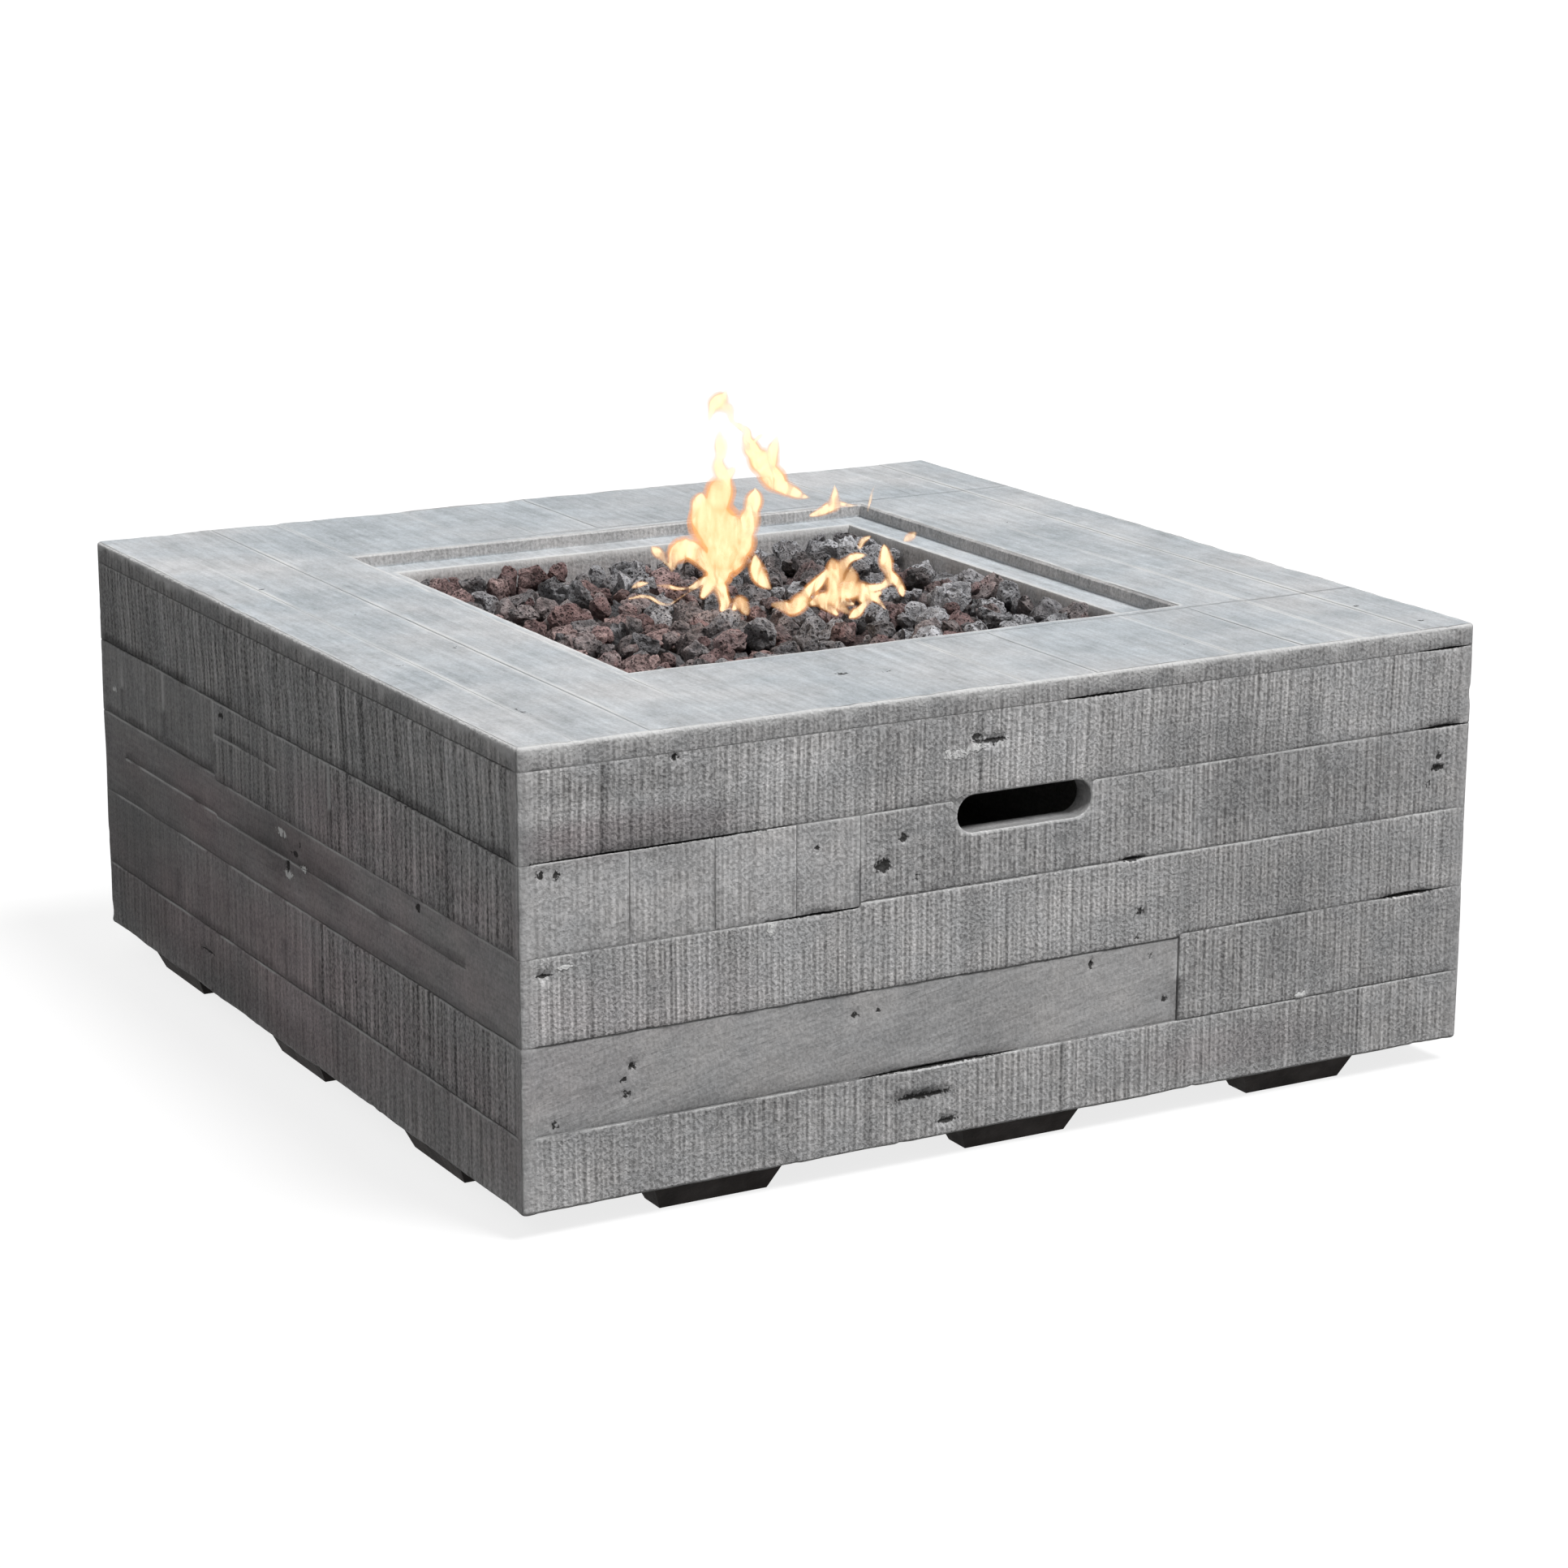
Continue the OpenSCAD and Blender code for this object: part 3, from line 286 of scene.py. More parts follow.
# Boards of the four walls, seen from outside: along is counted from a wall's left end, up from the
# body's underside. Each joint between two courses is a run of points: along, up and strength.
JOINTS = {
    FRONT: [
        [(0, 336, 0.3), (40, 336, 0.05), (466, 336, 0.04), (472, 336, 0.8), (533, 336, 0.8),
         (540, 336, 0.04), (806, 336, 0.04), (815, 336, 0.9), (855, 336, 0.9), (864, 336, 0.5)],
        [(0, 266.5, 0.09), (14, 266.5, 0.8), (211, 267.5, 0.8), (230, 267.6, 0.11), (806, 270.4, 0.11),
         (818, 270.5, 0.8), (864, 270.7, 0.7)],
        [(0, 196, 0.09), (204, 195.8, 0.11), (212, 195.8, 1), (284, 195.7, 0.9), (286, 199.5, 0.2),
         (864, 200, 0.14)],
        [(0, 128.7, 0.14), (578, 129, 0.14), (580, 132, 0.16), (771, 132.7, 0.16), (778, 132.7, 1),
         (833, 132.9, 1), (842, 133, 0.16), (864, 133, 0.14)],
        [(0, 59, 0.09), (285, 59.3, 0.14), (292, 59.3, 1), (420, 59.5, 0.9), (428, 59.5, 0.11),
         (864, 60, 0.14)],
    ],
    RIGHT: [
        [(0, 336, 0.18), (300, 336, 0.14), (312, 336, 0.8), (380, 336, 0.8), (392, 336, 0.14),
         (864, 336, 0.18)],
        [(0, 270.7, 0.7), (120, 270.2, 0.14), (600, 268, 0.14), (612, 268, 0.9), (760, 267.4, 0.8),
         (864, 267, 0.18)],
        [(0, 200, 0.14), (640, 197.8, 0.14), (655, 197.7, 0.9), (864, 197, 0.8)],
        [(0, 133, 0.14), (100, 132.5, 0.9), (240, 131.9, 0.9), (255, 131.8, 0.14), (864, 129, 0.18)],
        [(0, 60, 0.14), (400, 59, 0.14), (412, 59, 0.9), (492, 58.9, 0.9), (500, 58.9, 0.14),
         (864, 58, 0.14)],
    ],
    BACK: [
        [(0, 336, 0.18), (530, 336, 0.14), (542, 336, 0.9), (640, 336, 0.8), (652, 336, 0.14),
         (864, 336, 0.18)],
        [(0, 267, 0.14), (90, 266.8, 0.8), (300, 266.3, 0.8), (315, 266.3, 0.14), (864, 265, 0.5)],
        [(0, 197, 0.14), (540, 199, 0.14), (552, 199, 1), (642, 199.3, 0.9), (655, 199.3, 0.14),
         (864, 200, 0.6)],
        [(0, 129, 0.5), (180, 128.5, 0.14), (370, 128, 0.8), (520, 127.8, 0.14), (864, 127, 0.14)],
        [(0, 58, 0.14), (202, 58.3, 0.9), (330, 58.4, 0.8), (345, 58.4, 0.14), (864, 59, 0.14)],
    ],
    LEFT: [
        [(0, 336, 0.3), (300, 336, 0.35), (864, 336, 0.45)],
        [(0, 265, 0.9), (290, 265.4, 0.8), (310, 265.4, 0.2), (580, 266, 0.3), (600, 266, 0.6),
         (864, 266.5, 0.7)],
        [(0, 200, 0.8), (270, 200, 0.8), (272, 196, 0.4), (864, 196, 0.3)],
        [(0, 127, 0.15), (260, 127.5, 0.3), (864, 128.7, 0.4)],
        [(0, 59, 0.15), (110, 59, 0.4), (500, 59, 0.55), (864, 59, 0.4)],
    ],
}
# Part joints: along from, along to, course and strength, and how far down its course each one lies
PART_JOINTS = {FRONT: [], RIGHT: [(120, 560, 3, 0.4)], BACK: [(300, 780, 3, 0.4)],
               LEFT: [(53, 767, 3, 0.5), (272, 411, 2, 0.45)]}
PART_SHARE = {2: 0.42, 3: 0.47}
# Boards of each course, from the cover's edge down: along of the start, share of the deepest set-back,
# tone, how clear the saw marks are, and strength of the upright line at the start
BOARDS = {
    FRONT: [
        [(0, 0, 0.94, 0.8, 0)],
        [(0, 0.75, 1.12, 1, 0)],
        [(0, 0.45, 1.2, 0.6, 0), (90, 0.45, 1.2, 0.6, 0.2), (161, 0.45, 1.18, 0.65, 0.3),
         (230, 0.45, 1.16, 0.7, 0.17), (285, 0.6, 1.02, 1, 0.25)],
        [(0, 0.2, 1.09, 1, 0)],
        [(0, 0.85, 1.0, 0.08, 0), (579, 0.1, 0.98, 1, 0.35)],
        [(0, 0.35, 1.0, 0.95, 0)],
    ],
    RIGHT: [
        [(0, 0, 0.95, 0.8, 0)],
        [(0, 0.7, 0.98, 0.9, 0), (612, 0.3, 0.92, 1, 0.25)],
        [(0, 0.3, 1.04, 0.9, 0)],
        [(0, 0.9, 0.95, 0.1, 0), (342, 0.5, 1.02, 0.9, 0.3)],
        [(0, 0.4, 1.02, 1, 0), (160, 0.4, 1.02, 1, 0.2)],
        [(0, 0.7, 0.97, 0.9, 0), (492, 0.3, 1.03, 0.8, 0.25)],
    ],
    BACK: [
        [(0, 0, 0.95, 0.8, 0)],
        [(0, 0.4, 1.0, 0.9, 0)],
        [(0, 0.9, 0.93, 1, 0), (642, 0.4, 1.02, 0.8, 0.3)],
        [(0, 0.3, 1.04, 0.9, 0), (372, 0.6, 0.96, 0.1, 0.25)],
        [(0, 0.7, 0.98, 0.1, 0)],
        [(0, 0.5, 1.02, 0.9, 0), (202, 0.3, 0.96, 1, 0.25)],
    ],
    LEFT: [
        [(0, 0, 0.9, 0.9, 0)],
        [(0, 0.7, 0.98, 1.4, 0)],
        [(0, 0.9, 1.0, 0.5, 0), (50, 0.9, 1.0, 0.5, 0.15), (152, 0.9, 0.96, 0.5, 0.17),
         (271, 0.4, 0.96, 1.1, 0.25), (520, 0.4, 0.98, 1.4, 0)],
        [(0, 0.8, 0.94, 0.08, 0)],
        [(0, 0.6, 0.93, 0.4, 0), (172, 0.6, 0.97, 0.6, 0.1), (417, 0.6, 0.97, 0.9, 0.17),
         (489, 0.5, 1.0, 1.4, 0.2)],
        [(0, 0.3, 0.95, 0.8, 0)],
    ],
}
# Knots, nail holes and slits: along, up, half width and half height
PITS = {
    FRONT: [
        (402, 311, 15, 2.8), (386, 315, 6, 3.4), (305, 225, 8, 5.5), (323, 245, 5, 4), (335, 212, 4, 2.6),
        (832, 236, 7, 3.6), (833, 246, 3.4, 3.4), (823, 223, 5, 2.6), (541, 156, 4, 3.2),
        (537, 136, 3.4, 2.8), (533, 200, 11, 2), (92, 101, 4, 3.8), (86, 80, 3.6, 3.6), (84, 91, 3, 3),
        (28, 66, 3.4, 3), (282, 111, 3.4, 3.2), (303, 112, 3, 3), (496, 118, 3.2, 3.2), (552, 117, 3, 3),
        (567, 80, 3.6, 3.4), (342, 37, 30, 2.8), (364, 13, 11, 3), (18, 258, 4, 4), (31, 256, 3, 4),
        (128, 332, 3, 4), (248, 247, 2.6, 2.6), (20, 182, 9, 2), (805, 132.8, 28, 1.6),
        (356, 59.4, 64, 1.4), (248, 195.8, 36, 1), (112, 267, 96, 0.8), (502, 336, 32, 1),
        (836, 270.6, 22, 1.1), (835, 336, 20, 1)],
    RIGHT: [
        (250, 178, 6, 5), (266, 168, 3, 3), (610, 92, 5, 3.5), (700, 298, 16, 1.8), (156, 40, 22, 1.5),
        (760, 214, 3, 3), (90, 250, 2.2, 2.2), (520, 140, 2, 2)],
    BACK: [
        (560, 306, 14, 2), (180, 232, 6, 4.5), (198, 246, 3, 3), (700, 160, 5, 4), (330, 88, 2, 2),
        (420, 82, 2, 2), (640, 30, 24, 1.5), (80, 120, 3, 2.4)],
    LEFT: [
        (289, 254, 5, 4), (683, 189, 5, 3.5), (440, 172, 9, 3), (426, 158, 4, 6), (452, 182, 3, 3),
        (120, 300, 2, 2), (560, 96, 2.4, 2.4), (240, 36, 18, 1.3), (700, 224, 2, 2)],
}
# Pale chips, painted near white as glints where they catch the light, in the same way
GLINT_CHIPS = {
    FRONT: [(367, 304, 10, 4), (36, 186, 8, 2), (386, 308, 8, 3), (208, 190, 3, 7), (700, 62, 5, 3)],
    RIGHT: [(262, 182, 8, 3), (150, 260, 9, 3), (640, 88, 6, 3)],
    BACK: [(576, 300, 9, 3), (206, 240, 5, 3), (712, 168, 7, 3)],
    LEFT: [(414, 184, 10, 3), (428, 152, 9, 4), (461, 164, 6, 3), (30, 225, 6, 3), (800, 318, 4, 3)],
}
# Brown or purple stains: along, up, half width, half height and strength
STAINS = {
    FRONT: [
        (90, 280, 120, 22, 0.6), (40, 100, 90, 40, 0.3), (640, 30, 120, 24, 0.25),
        (100, 150, 140, 40, 0.25)],
    RIGHT: [(300, 60, 160, 40, 0.6), (680, 300, 120, 26, 0.6)],
    BACK: [(220, 290, 160, 24, 0.6), (600, 90, 140, 50, 0.5)],
    LEFT: [(640, 215, 330, 60, 0.9), (420, 160, 560, 60, 1), (430, 60, 620, 90, 0.9)],
}
# Patches of painted shade, and of painted light where the strength is below 0, in the same way: they paint
# how the light falls off across each wall
SHADE_PATCHES = {
    FRONT: [
        (50, 278, 190, 24, 0.34), (690, 238, 230, 46, 0.2), (720, 165, 200, 44, 0.16),
        (200, 60, 240, 14, 0.14), (720, 95, 190, 40, 0.12), (640, 22, 250, 34, 0.18),
        (430, 302, 120, 34, -0.16), (218, 308, 84, 26, -0.16), (150, 235, 170, 34, -0.08),
        (600, 284, 120, 20, 0.16), (480, 165, 90, 28, -0.06), (90, 318, 120, 14, 0.2),
        (342, 38, 36, 9, 0.5)],
    RIGHT: [
        (200, 230, 220, 50, 0.2), (640, 120, 200, 60, 0.18), (420, 30, 260, 40, 0.16),
        (700, 300, 150, 30, -0.1)],
    BACK: [
        (120, 270, 200, 30, 0.25), (600, 160, 240, 50, 0.18), (320, 60, 220, 50, 0.14),
        (520, 300, 130, 30, -0.1)],
    LEFT: [
        (120, 300, 220, 50, -0.05), (700, 100, 260, 90, 0.1), (300, 20, 340, 30, 0.2),
        (450, 172, 140, 34, 0.36), (60, 80, 150, 110, 0.2), (120, 150, 480, 420, 0.28)],
}


def joint_runs(side, along):
    """Heights and strengths of a wall's joints at places along it, one row to a joint."""
    runs = [np.array(run).T for run in JOINTS[side]]
    return [np.stack([np.interp(along, run[0], run[k]) for run in runs]) for k in (1, 2)]


def spots(rows, along, up):
    """Distance from the middle of each spot, in its half sizes."""
    return [np.hypot((along - row[0]) / row[2], (up - row[1]) / row[3]) for row in rows]


def groove_at(gap, strength):
    """Depth of a joint at a gap from its middle: its strength on its floor, and 0 beyond its mouth."""
    return strength * np.clip((JOINT_W - gap) / (JOINT_W - JOINT_FLOOR), 0, 1)


def edge_wear(places, near, knocks):
    """Depth lost near an edge: a slow wave, and knocks of a strength."""
    return near * (0.5 * noise(places, 55, 16) + knocks * ramp(layers(places, 20, 8), 0.45, 1.0))


def wall_finish(side, along, height, places):
    """Depth of a wall's surface under its flat face, and the values that its material reads."""
    up = height - UNDER
    levels, strengths = joint_runs(side, along)
    course = (up < levels).sum(axis=0)
    nearest = np.abs(up - levels).argmin(axis=0), np.arange(len(along))
    gap, strength, under_joint = np.abs(up - levels)[nearest], strengths[nearest], up < levels[nearest]
    back, tone, sawn, board = np.zeros((4, len(along)))
    for number, row in enumerate(BOARDS[side]):
        for start, set_back, shade, marks, line in row:
            here = (course == number) & (along >= start)
            back[here], tone[here], sawn[here] = set_back * BOARD_STEP, shade, marks
            # Shifts the material's pattern, so that no two boards look alike
            board[here] = 7.7 * (number + 1) + 0.031 * start + 61 * side
            if start:
                beside = np.where(course == number, np.abs(along - start), FAR)
                strength = np.where(beside < gap, line, strength)
                gap = np.minimum(gap, beside)
    main = nearest[0]
    for low, high, number, line in PART_JOINTS[side]:
        level = levels[number - 1] + (levels[number] - levels[number - 1]) * PART_SHARE[number]
        beside = np.where((along > low) & (along < high), np.abs(up - level), FAR)
        strength = np.where(beside < gap, line, strength)
        under_joint = np.where(beside < gap, up < level, under_joint)
        gap = np.minimum(gap, beside)
    from_end = np.minimum(along, 2 * HALF - along)
    inside = ramp(from_end, 2 if side == LEFT else STRIP - 6, STRIP)
    sawn *= 0.25 + 0.75 * ramp(from_end, 2, 1.6 * STRIP)
    back *= np.where(course == 1, ramp(levels[0] - up, 2, 60), 1)
    strength = strength * np.clip(0.9 + 0.6 * noise(places, 26, 3), 0.3, 1.2) * (0.25 + 0.75 * inside)
    groove = groove_at(gap, strength)
    # Painted shade: each board is darker just above the joint under it, as if shaded by its own lower edge,
    # more so on the left wall.
    shade = np.where(main == 0, 0.0, np.where(main == 1, 0.22, 0.13)) + 0.3 * np.minimum(strength, 1)
    shade = shade * (1.5 if side == LEFT else 1)
    tone = tone * (1 - shade * fall(gap + 3 * noise(places, 30, 17), 0.5, 11) * ~under_joint * inside)
    # Painted shade and painted light, in patches
    for away, spot in zip(spots(SHADE_PATCHES[side], along, up), SHADE_PATCHES[side]):
        tone = tone * (1 - spot[4] * fall(away + 0.25 * noise(places, 40, 14), 0.2, 1.1))
    stain = np.zeros(len(along))
    for away, spot in zip(spots(STAINS[side], along, up), STAINS[side]):
        stain = np.maximum(stain, spot[4] * fall(away, 0.4, 1))
    pit = np.min(spots(PITS[side], along, up), axis=0)
    chip_glint = np.min(spots(GLINT_CHIPS[side], along, up), axis=0)

    edge = np.minimum(from_end, np.minimum(up, (TOP - UNDER - up) / 2.6))
    # Pale edges: wear, painted brighter as a highlight where the rounded edge catches the light.
    worn = 0.95 * fall(edge + 1.4 * layers(places, 14, 6), 0.8, 3.4)
    # Painted highlight: a pale line on the upper edge of the board below a joint, where it stands proud and
    # catches the light.
    lip = under_joint * (gap > 0.3) * fall(gap, 1.2, 2.7) * ramp(noise(places, 30, 7), -0.5, 0.2)
    lip *= np.where(main == 0, np.minimum(strength, 1), 1)
    worn = np.maximum(worn, 0.85 * lip * inside)
    swell = 0.35 * noise(places, 110, 1) + 0.22 * layers(places, (34, 34, 60), 2)
    saw = 0.34 * noise(places, (8, 8, 70), 4) + 0.26 * noise(places, (17, 17, 220), 5)
    depth = back * inside + 1.9 * groove + swell + saw * sawn
    depth += 2.4 * fall(pit, 0.5, 1.1) - 0.5 * fall(chip_glint, 0.5, 1.1)
    depth += edge_wear(places, fall(edge, 2, 10), 1)
    return depth, dict(tone=tone, groove=groove, worn=worn, sawn=sawn, stain=stain, pit=np.minimum(pit, 4),
                       chip_glint=np.minimum(chip_glint, 4), board=board)


# Lines between the boards of the top: x, y from, y to, strength and step down beyond the line
TOP_LINES = [
    (-385, -500, 500, 0.55, 0.3), (-323, -500, 500, 0.6, -0.3), (-260, -500, -258, 0.5, 0.2),
    (-260, 258, 500, 0.4, 0.2), (-135, 258, 500, 0.6, 0.4), (-72, 258, 500, 0.25, -0.1),
    (-10, 258, 500, 0.6, -0.4), (256, 258, 500, 0.6, -0.1), (-1, -500, -258, 0.45, 0.3),
    (65, -500, -258, 0.5, -0.4), (195, -500, -258, 0.4, 0.3), (260, -500, -258, 0.8, -0.4),
    (318, -500, 100, 0.6, 0.35), (379, -500, 500, 0.75, -0.3)]
TOP_PITS = [
    (-110, -337, 8, 2.6), (-76, -348, 4, 2.2), (-378, -330, 2, 22), (-395, -150, 5, 2), (-345, 40, 9, 1.4),
    (180, -380, 3, 2), (330, 120, 4, 2), (60, 350, 5, 2), (-240, 330, 6, 2), (360, -260, 3, 2),
    (-330, -110, 5, 2), (-290, -30, 4, 1.6), (-380, 170, 3, 3), (400, -400, 4, 2), (388, -330, 3, 3)]


def top_finish(x, y, places):
    """Depth of the top under its flat, and the values that its material reads."""
    gap = np.full(len(x), FAR)
    strength, depth, board = np.zeros((3, len(x)))
    for place, start, end, line, step in TOP_LINES:
        share = ramp(y, start - 1, start + 24) * fall(y, end - 24, end + 1)
        depth += step * share * (x > place)
        board += 5.3 * (share > 0.5) * (x > place)
        beside = np.where(share > 0.05, np.abs(x - place), FAR)
        strength = np.where(beside < gap, line * share, strength)
        gap = np.minimum(gap, beside)
    strength = strength * np.clip(0.75 + 0.8 * layers(places, (40, 110, 50), 21), 0.1, 1.2)
    groove = groove_at(gap, strength)
    pit = np.min(spots(TOP_PITS, x, y), axis=0)
    reach = np.maximum(np.abs(x), np.abs(y))
    edge = np.minimum(HALF - reach, reach - RECESS)
    # Pale edges and pale lines beside the grooves: wear, with a painted highlight where an edge catches the
    # light.
    worn = 0.8 * fall(edge + 1.5 * noise(places, 16, 6), 2.2, 4.5)
    worn = np.maximum(worn, np.minimum(1.5 * strength, 1) * (gap > 0.8) * fall(gap, 1.6, 4))
    swell = 0.22 * noise(places, 130, 9) + 0.2 * layers(places, (22, 60, 40), 10)
    depth += 0.9 * groove + swell + 1.8 * fall(pit, 0.5, 1.1)
    depth += edge_wear(places, fall(edge, 3, 11), 0.6)
    tone = 1 + 0.03 * np.sin(1.7 * board + 1)
    return depth, dict(tone=tone, groove=0.3 * groove, worn=worn, pit=np.minimum(pit, 4), level=1.0,
                       board=board)


def wall_places(side, along, height, depth):
    """Points of a wall in space, at a depth behind its flat face."""
    across = along - HALF
    out = np.broadcast_to(HALF - depth, across.shape)
    way = [(across, -out), (out, across), (-across, out), (-out, -across)][side]
    return np.column_stack([*way, height])


def concrete_piece():
    """The casting: one closed skin, with its boards, pale edges of wear and painted highlight, recess, basin
    and hollow.
    """
    shell = Shell()
    flat, corner = HALF - EDGE_R, CORNER_R - EDGE_R
    hole = RECESS + 2
    ends = [sign * (flat - d) for sign in (-1, 1) for d in (1, 2, 3)]
    by_side = {k: [board[0] - HALF for row in BOARDS[k] for board in row if board[0]] for k in BOARDS}
    strips = [STRIP - HALF, HALF - STRIP]
    x_fine = by_side[FRONT] + [-v for v in by_side[BACK]] + [line[0] for line in TOP_LINES] + strips
    y_fine = by_side[RIGHT] + [-v for v in by_side[LEFT]] + strips
    exact = [-hole, hole] + ends
    x_lines, y_lines = [stations(-flat, flat, TOP_PITCH, exact, fine) for fine in (x_fine, y_fine)]

    # Top
    nx, ny = len(x_lines), len(y_lines)
    xy = np.stack(np.meshgrid(x_lines, y_lines, indexing="ij"), axis=-1).reshape(-1, 2)
    over = np.maximum(np.abs(xy) - (flat - corner), 0)
    bent = (over > TINY).all(axis=1)
    pull = over[bent] * (over[bent].max(axis=1) / np.hypot(*over[bent].T))[:, None]
    xy[bent] = np.sign(xy[bent]) * (flat - corner + pull)
    kept = (np.abs(xy) >= hole - TINY).any(axis=1)
    places = at_height(xy[kept], TOP)
    depth, values = top_finish(places[:, 0], places[:, 1], places)
    numbers = np.full(nx * ny, -1)
    numbers[kept] = shell.add(places - np.outer(depth, (0, 0, 1)), **values)
    grid = numbers.reshape(nx, ny)
    over_hole = [np.abs(lines[1:] + lines[:-1]) / 2 < hole for lines in (x_lines, y_lines)]
    solid = ~np.logical_and.outer(*over_hole)
    shell.quads(grid[:-1, :-1][solid], grid[1:, :-1][solid], grid[1:, 1:][solid], grid[:-1, 1:][solid])

    # Rows of the walls, from the top's edge down to the underside
    def rim_of(a, b, c, d):
        return np.concatenate([grid[a:b, c], grid[b, c:d], grid[b:a:-1, d], grid[a, d:c:-1]])

    edge = rim_of(0, nx - 1, 0, ny - 1)
    base = np.concatenate(shell.points)[edge][:, :2]
    beyond = np.maximum(np.abs(base) - (flat - corner) + 1e-9, 0)
    beyond[beyond < TINY] = 0
    out = np.sign(base) * beyond / np.hypot(*beyond.T)[:, None]
    walls = np.split(np.arange(len(edge)), np.cumsum([nx - 1, ny - 1, nx - 1]))
    face = base + EDGE_R * out
    signs = (1, 1, -1, -1)
    along = np.concatenate([signs[k] * face[here, k % 2] for k, here in enumerate(walls)]) + HALF

    levels = np.hstack([joint_runs(k, along[here])[0] for k, here in enumerate(walls)])
    top_cut, low_cut = np.full((2, len(edge)), [[TOP - EDGE_R], [UNDER + BOTTOM_R]])
    cuts = [top_cut, *(levels + UNDER), low_cut]
    heights = [top_cut]
    for number, (upper, lower) in enumerate(zip(cuts, cuts[1:])):
        span = (upper - lower).mean()
        offsets = stations(0, span, WALL_PITCH)[1:-1]
        close = [JOINT_FLOOR, JOINT_W, JOINT_SIDE]
        part = PART_SHARE.get(number, 0) * span
        rows = {*close, *(span - c for c in close)}
        rows |= {o for o in offsets if 4 < o < span - 4 and abs(o - part) > 4}
        rows |= {part + sign * c for c in close for sign in (-1, 1) if part}
        heights += [upper + (lower - upper) * row / span for row in sorted(rows)]
    heights.append(low_cut)

    def add_row(height, push, lean):
        """One row round the walls: push out from the top's edge, and lean, the share of up in its normal."""
        places = at_height(base + push * out, height)
        parts = [wall_finish(k, along[here], height[here], places[here]) for k, here in enumerate(walls)]
        depth = np.concatenate([part[0] for part in parts])
        values = {key: np.concatenate([part[1][key] for part in parts]) for key in parts[0][1]}
        normal = at_height(out * math.sqrt(1 - lean * lean), lean)
        return shell.add(places - normal * depth[:, None], **values)

    passes = []
    for turn in np.radians((22.5, 45, 67.5)):
        lean = math.cos(turn)
        passes.append((TOP - EDGE_R + EDGE_R * lean, EDGE_R * math.sin(turn), lean))
    passes += [(height, EDGE_R, 0) for height in heights]
    for turn in np.radians((30, 60, 90)):
        dip = math.sin(turn)
        passes.append((UNDER + BOTTOM_R * (1 - dip), EDGE_R - BOTTOM_R * (1 - math.cos(turn)), -dip))
    row_heights = np.array([np.broadcast_to(height, len(edge)) for height in (TOP, *(p[0] for p in passes))])
    rows = [edge]
    for height, (_, push, lean) in zip(row_heights[1:], passes):
        rows.append(add_row(height, push, lean))
    rows = np.array(rows)

    # Openings in the walls
    open_cells = np.zeros((len(rows) - 1, len(edge)), bool)
    mouths = {}
    for k, (half_w, half_h, radius) in MOUTHS.items():
        here = walls[k]
        room = np.abs(along[here] - HALF) - half_w - radius - 2.5
        first, last = here[(room > 0) & (along[here] < HALF)][-1], here[(room > 0) & (along[here] > HALF)][0]
        reach = half_h + radius + 2
        above = row_heights[:, first:last + 1].min(axis=1) > AXIS_Z + reach
        below = row_heights[:, first:last + 1].max(axis=1) < AXIS_Z - reach
        top_row, low_row = np.where(above)[0][-1], np.where(below)[0][0]
        open_cells[top_row:low_row, first:last] = True
        across, down = np.arange(first, last), np.arange(top_row, low_row)
        border_rows = np.concatenate([np.full_like(across, top_row), down,
                                      np.full_like(across, low_row), down[::-1] + 1])
        border_cols = np.concatenate([across, np.full_like(down, last),
                                      across[::-1] + 1, np.full_like(down, first)])
        border = rows[border_rows, border_cols]
        start = np.column_stack([along[border_cols] - HALF, row_heights[border_rows, border_cols] - AXIS_Z])
        core = np.clip(start, (-half_w, -half_h), (half_w, half_h))
        way = (start - core) / np.hypot(*(start - core).T)[:, None]
        last_ring = border
        # Rings from the border into the opening: how far they stand off its outline, and how deep they lie
        for number, (grow, sink) in enumerate([(1.6, 0), (1.6, 0), (0.5, 0.5), (0, 1.6), (0, 9), (0, WALL)]):
            ring = core + way * (radius + grow)
            if number == 0:
                ring = (start + ring) / 2
            ring_along, ring_height = ring[:, 0] + HALF, ring[:, 1] + AXIS_Z
            plain = wall_places(k, ring_along, ring_height, 0)
            depth, values = wall_finish(k, ring_along, ring_height, plain)
            # Painted shade: the rings deep inside each opening are darker.
            if sink > 2:
                depth, values = 0, {"tone": 0.7}
            elif number > 0:
                values["worn"] = np.maximum(values["worn"], 0.55)
            ring_numbers = shell.add(wall_places(k, ring_along, ring_height, depth + sink), **values)
            shell.loft(last_ring, ring_numbers)
            last_ring = ring_numbers
        mouths[k] = (last_ring, ring_along)
    shut = ~open_cells
    nxt = np.roll(rows, -1, axis=1)
    shell.quads(rows[1:][shut], nxt[1:][shut], nxt[:-1][shut], rows[:-1][shut])

    # Underside, rim and the hollow's walls, as rows drawn in towards the middle, painted darker as the shade
    # under and inside the casting
    def drawn_in(reach, height):
        return shell.add(at_height(face * (reach / HALF), height), tone=0.4)

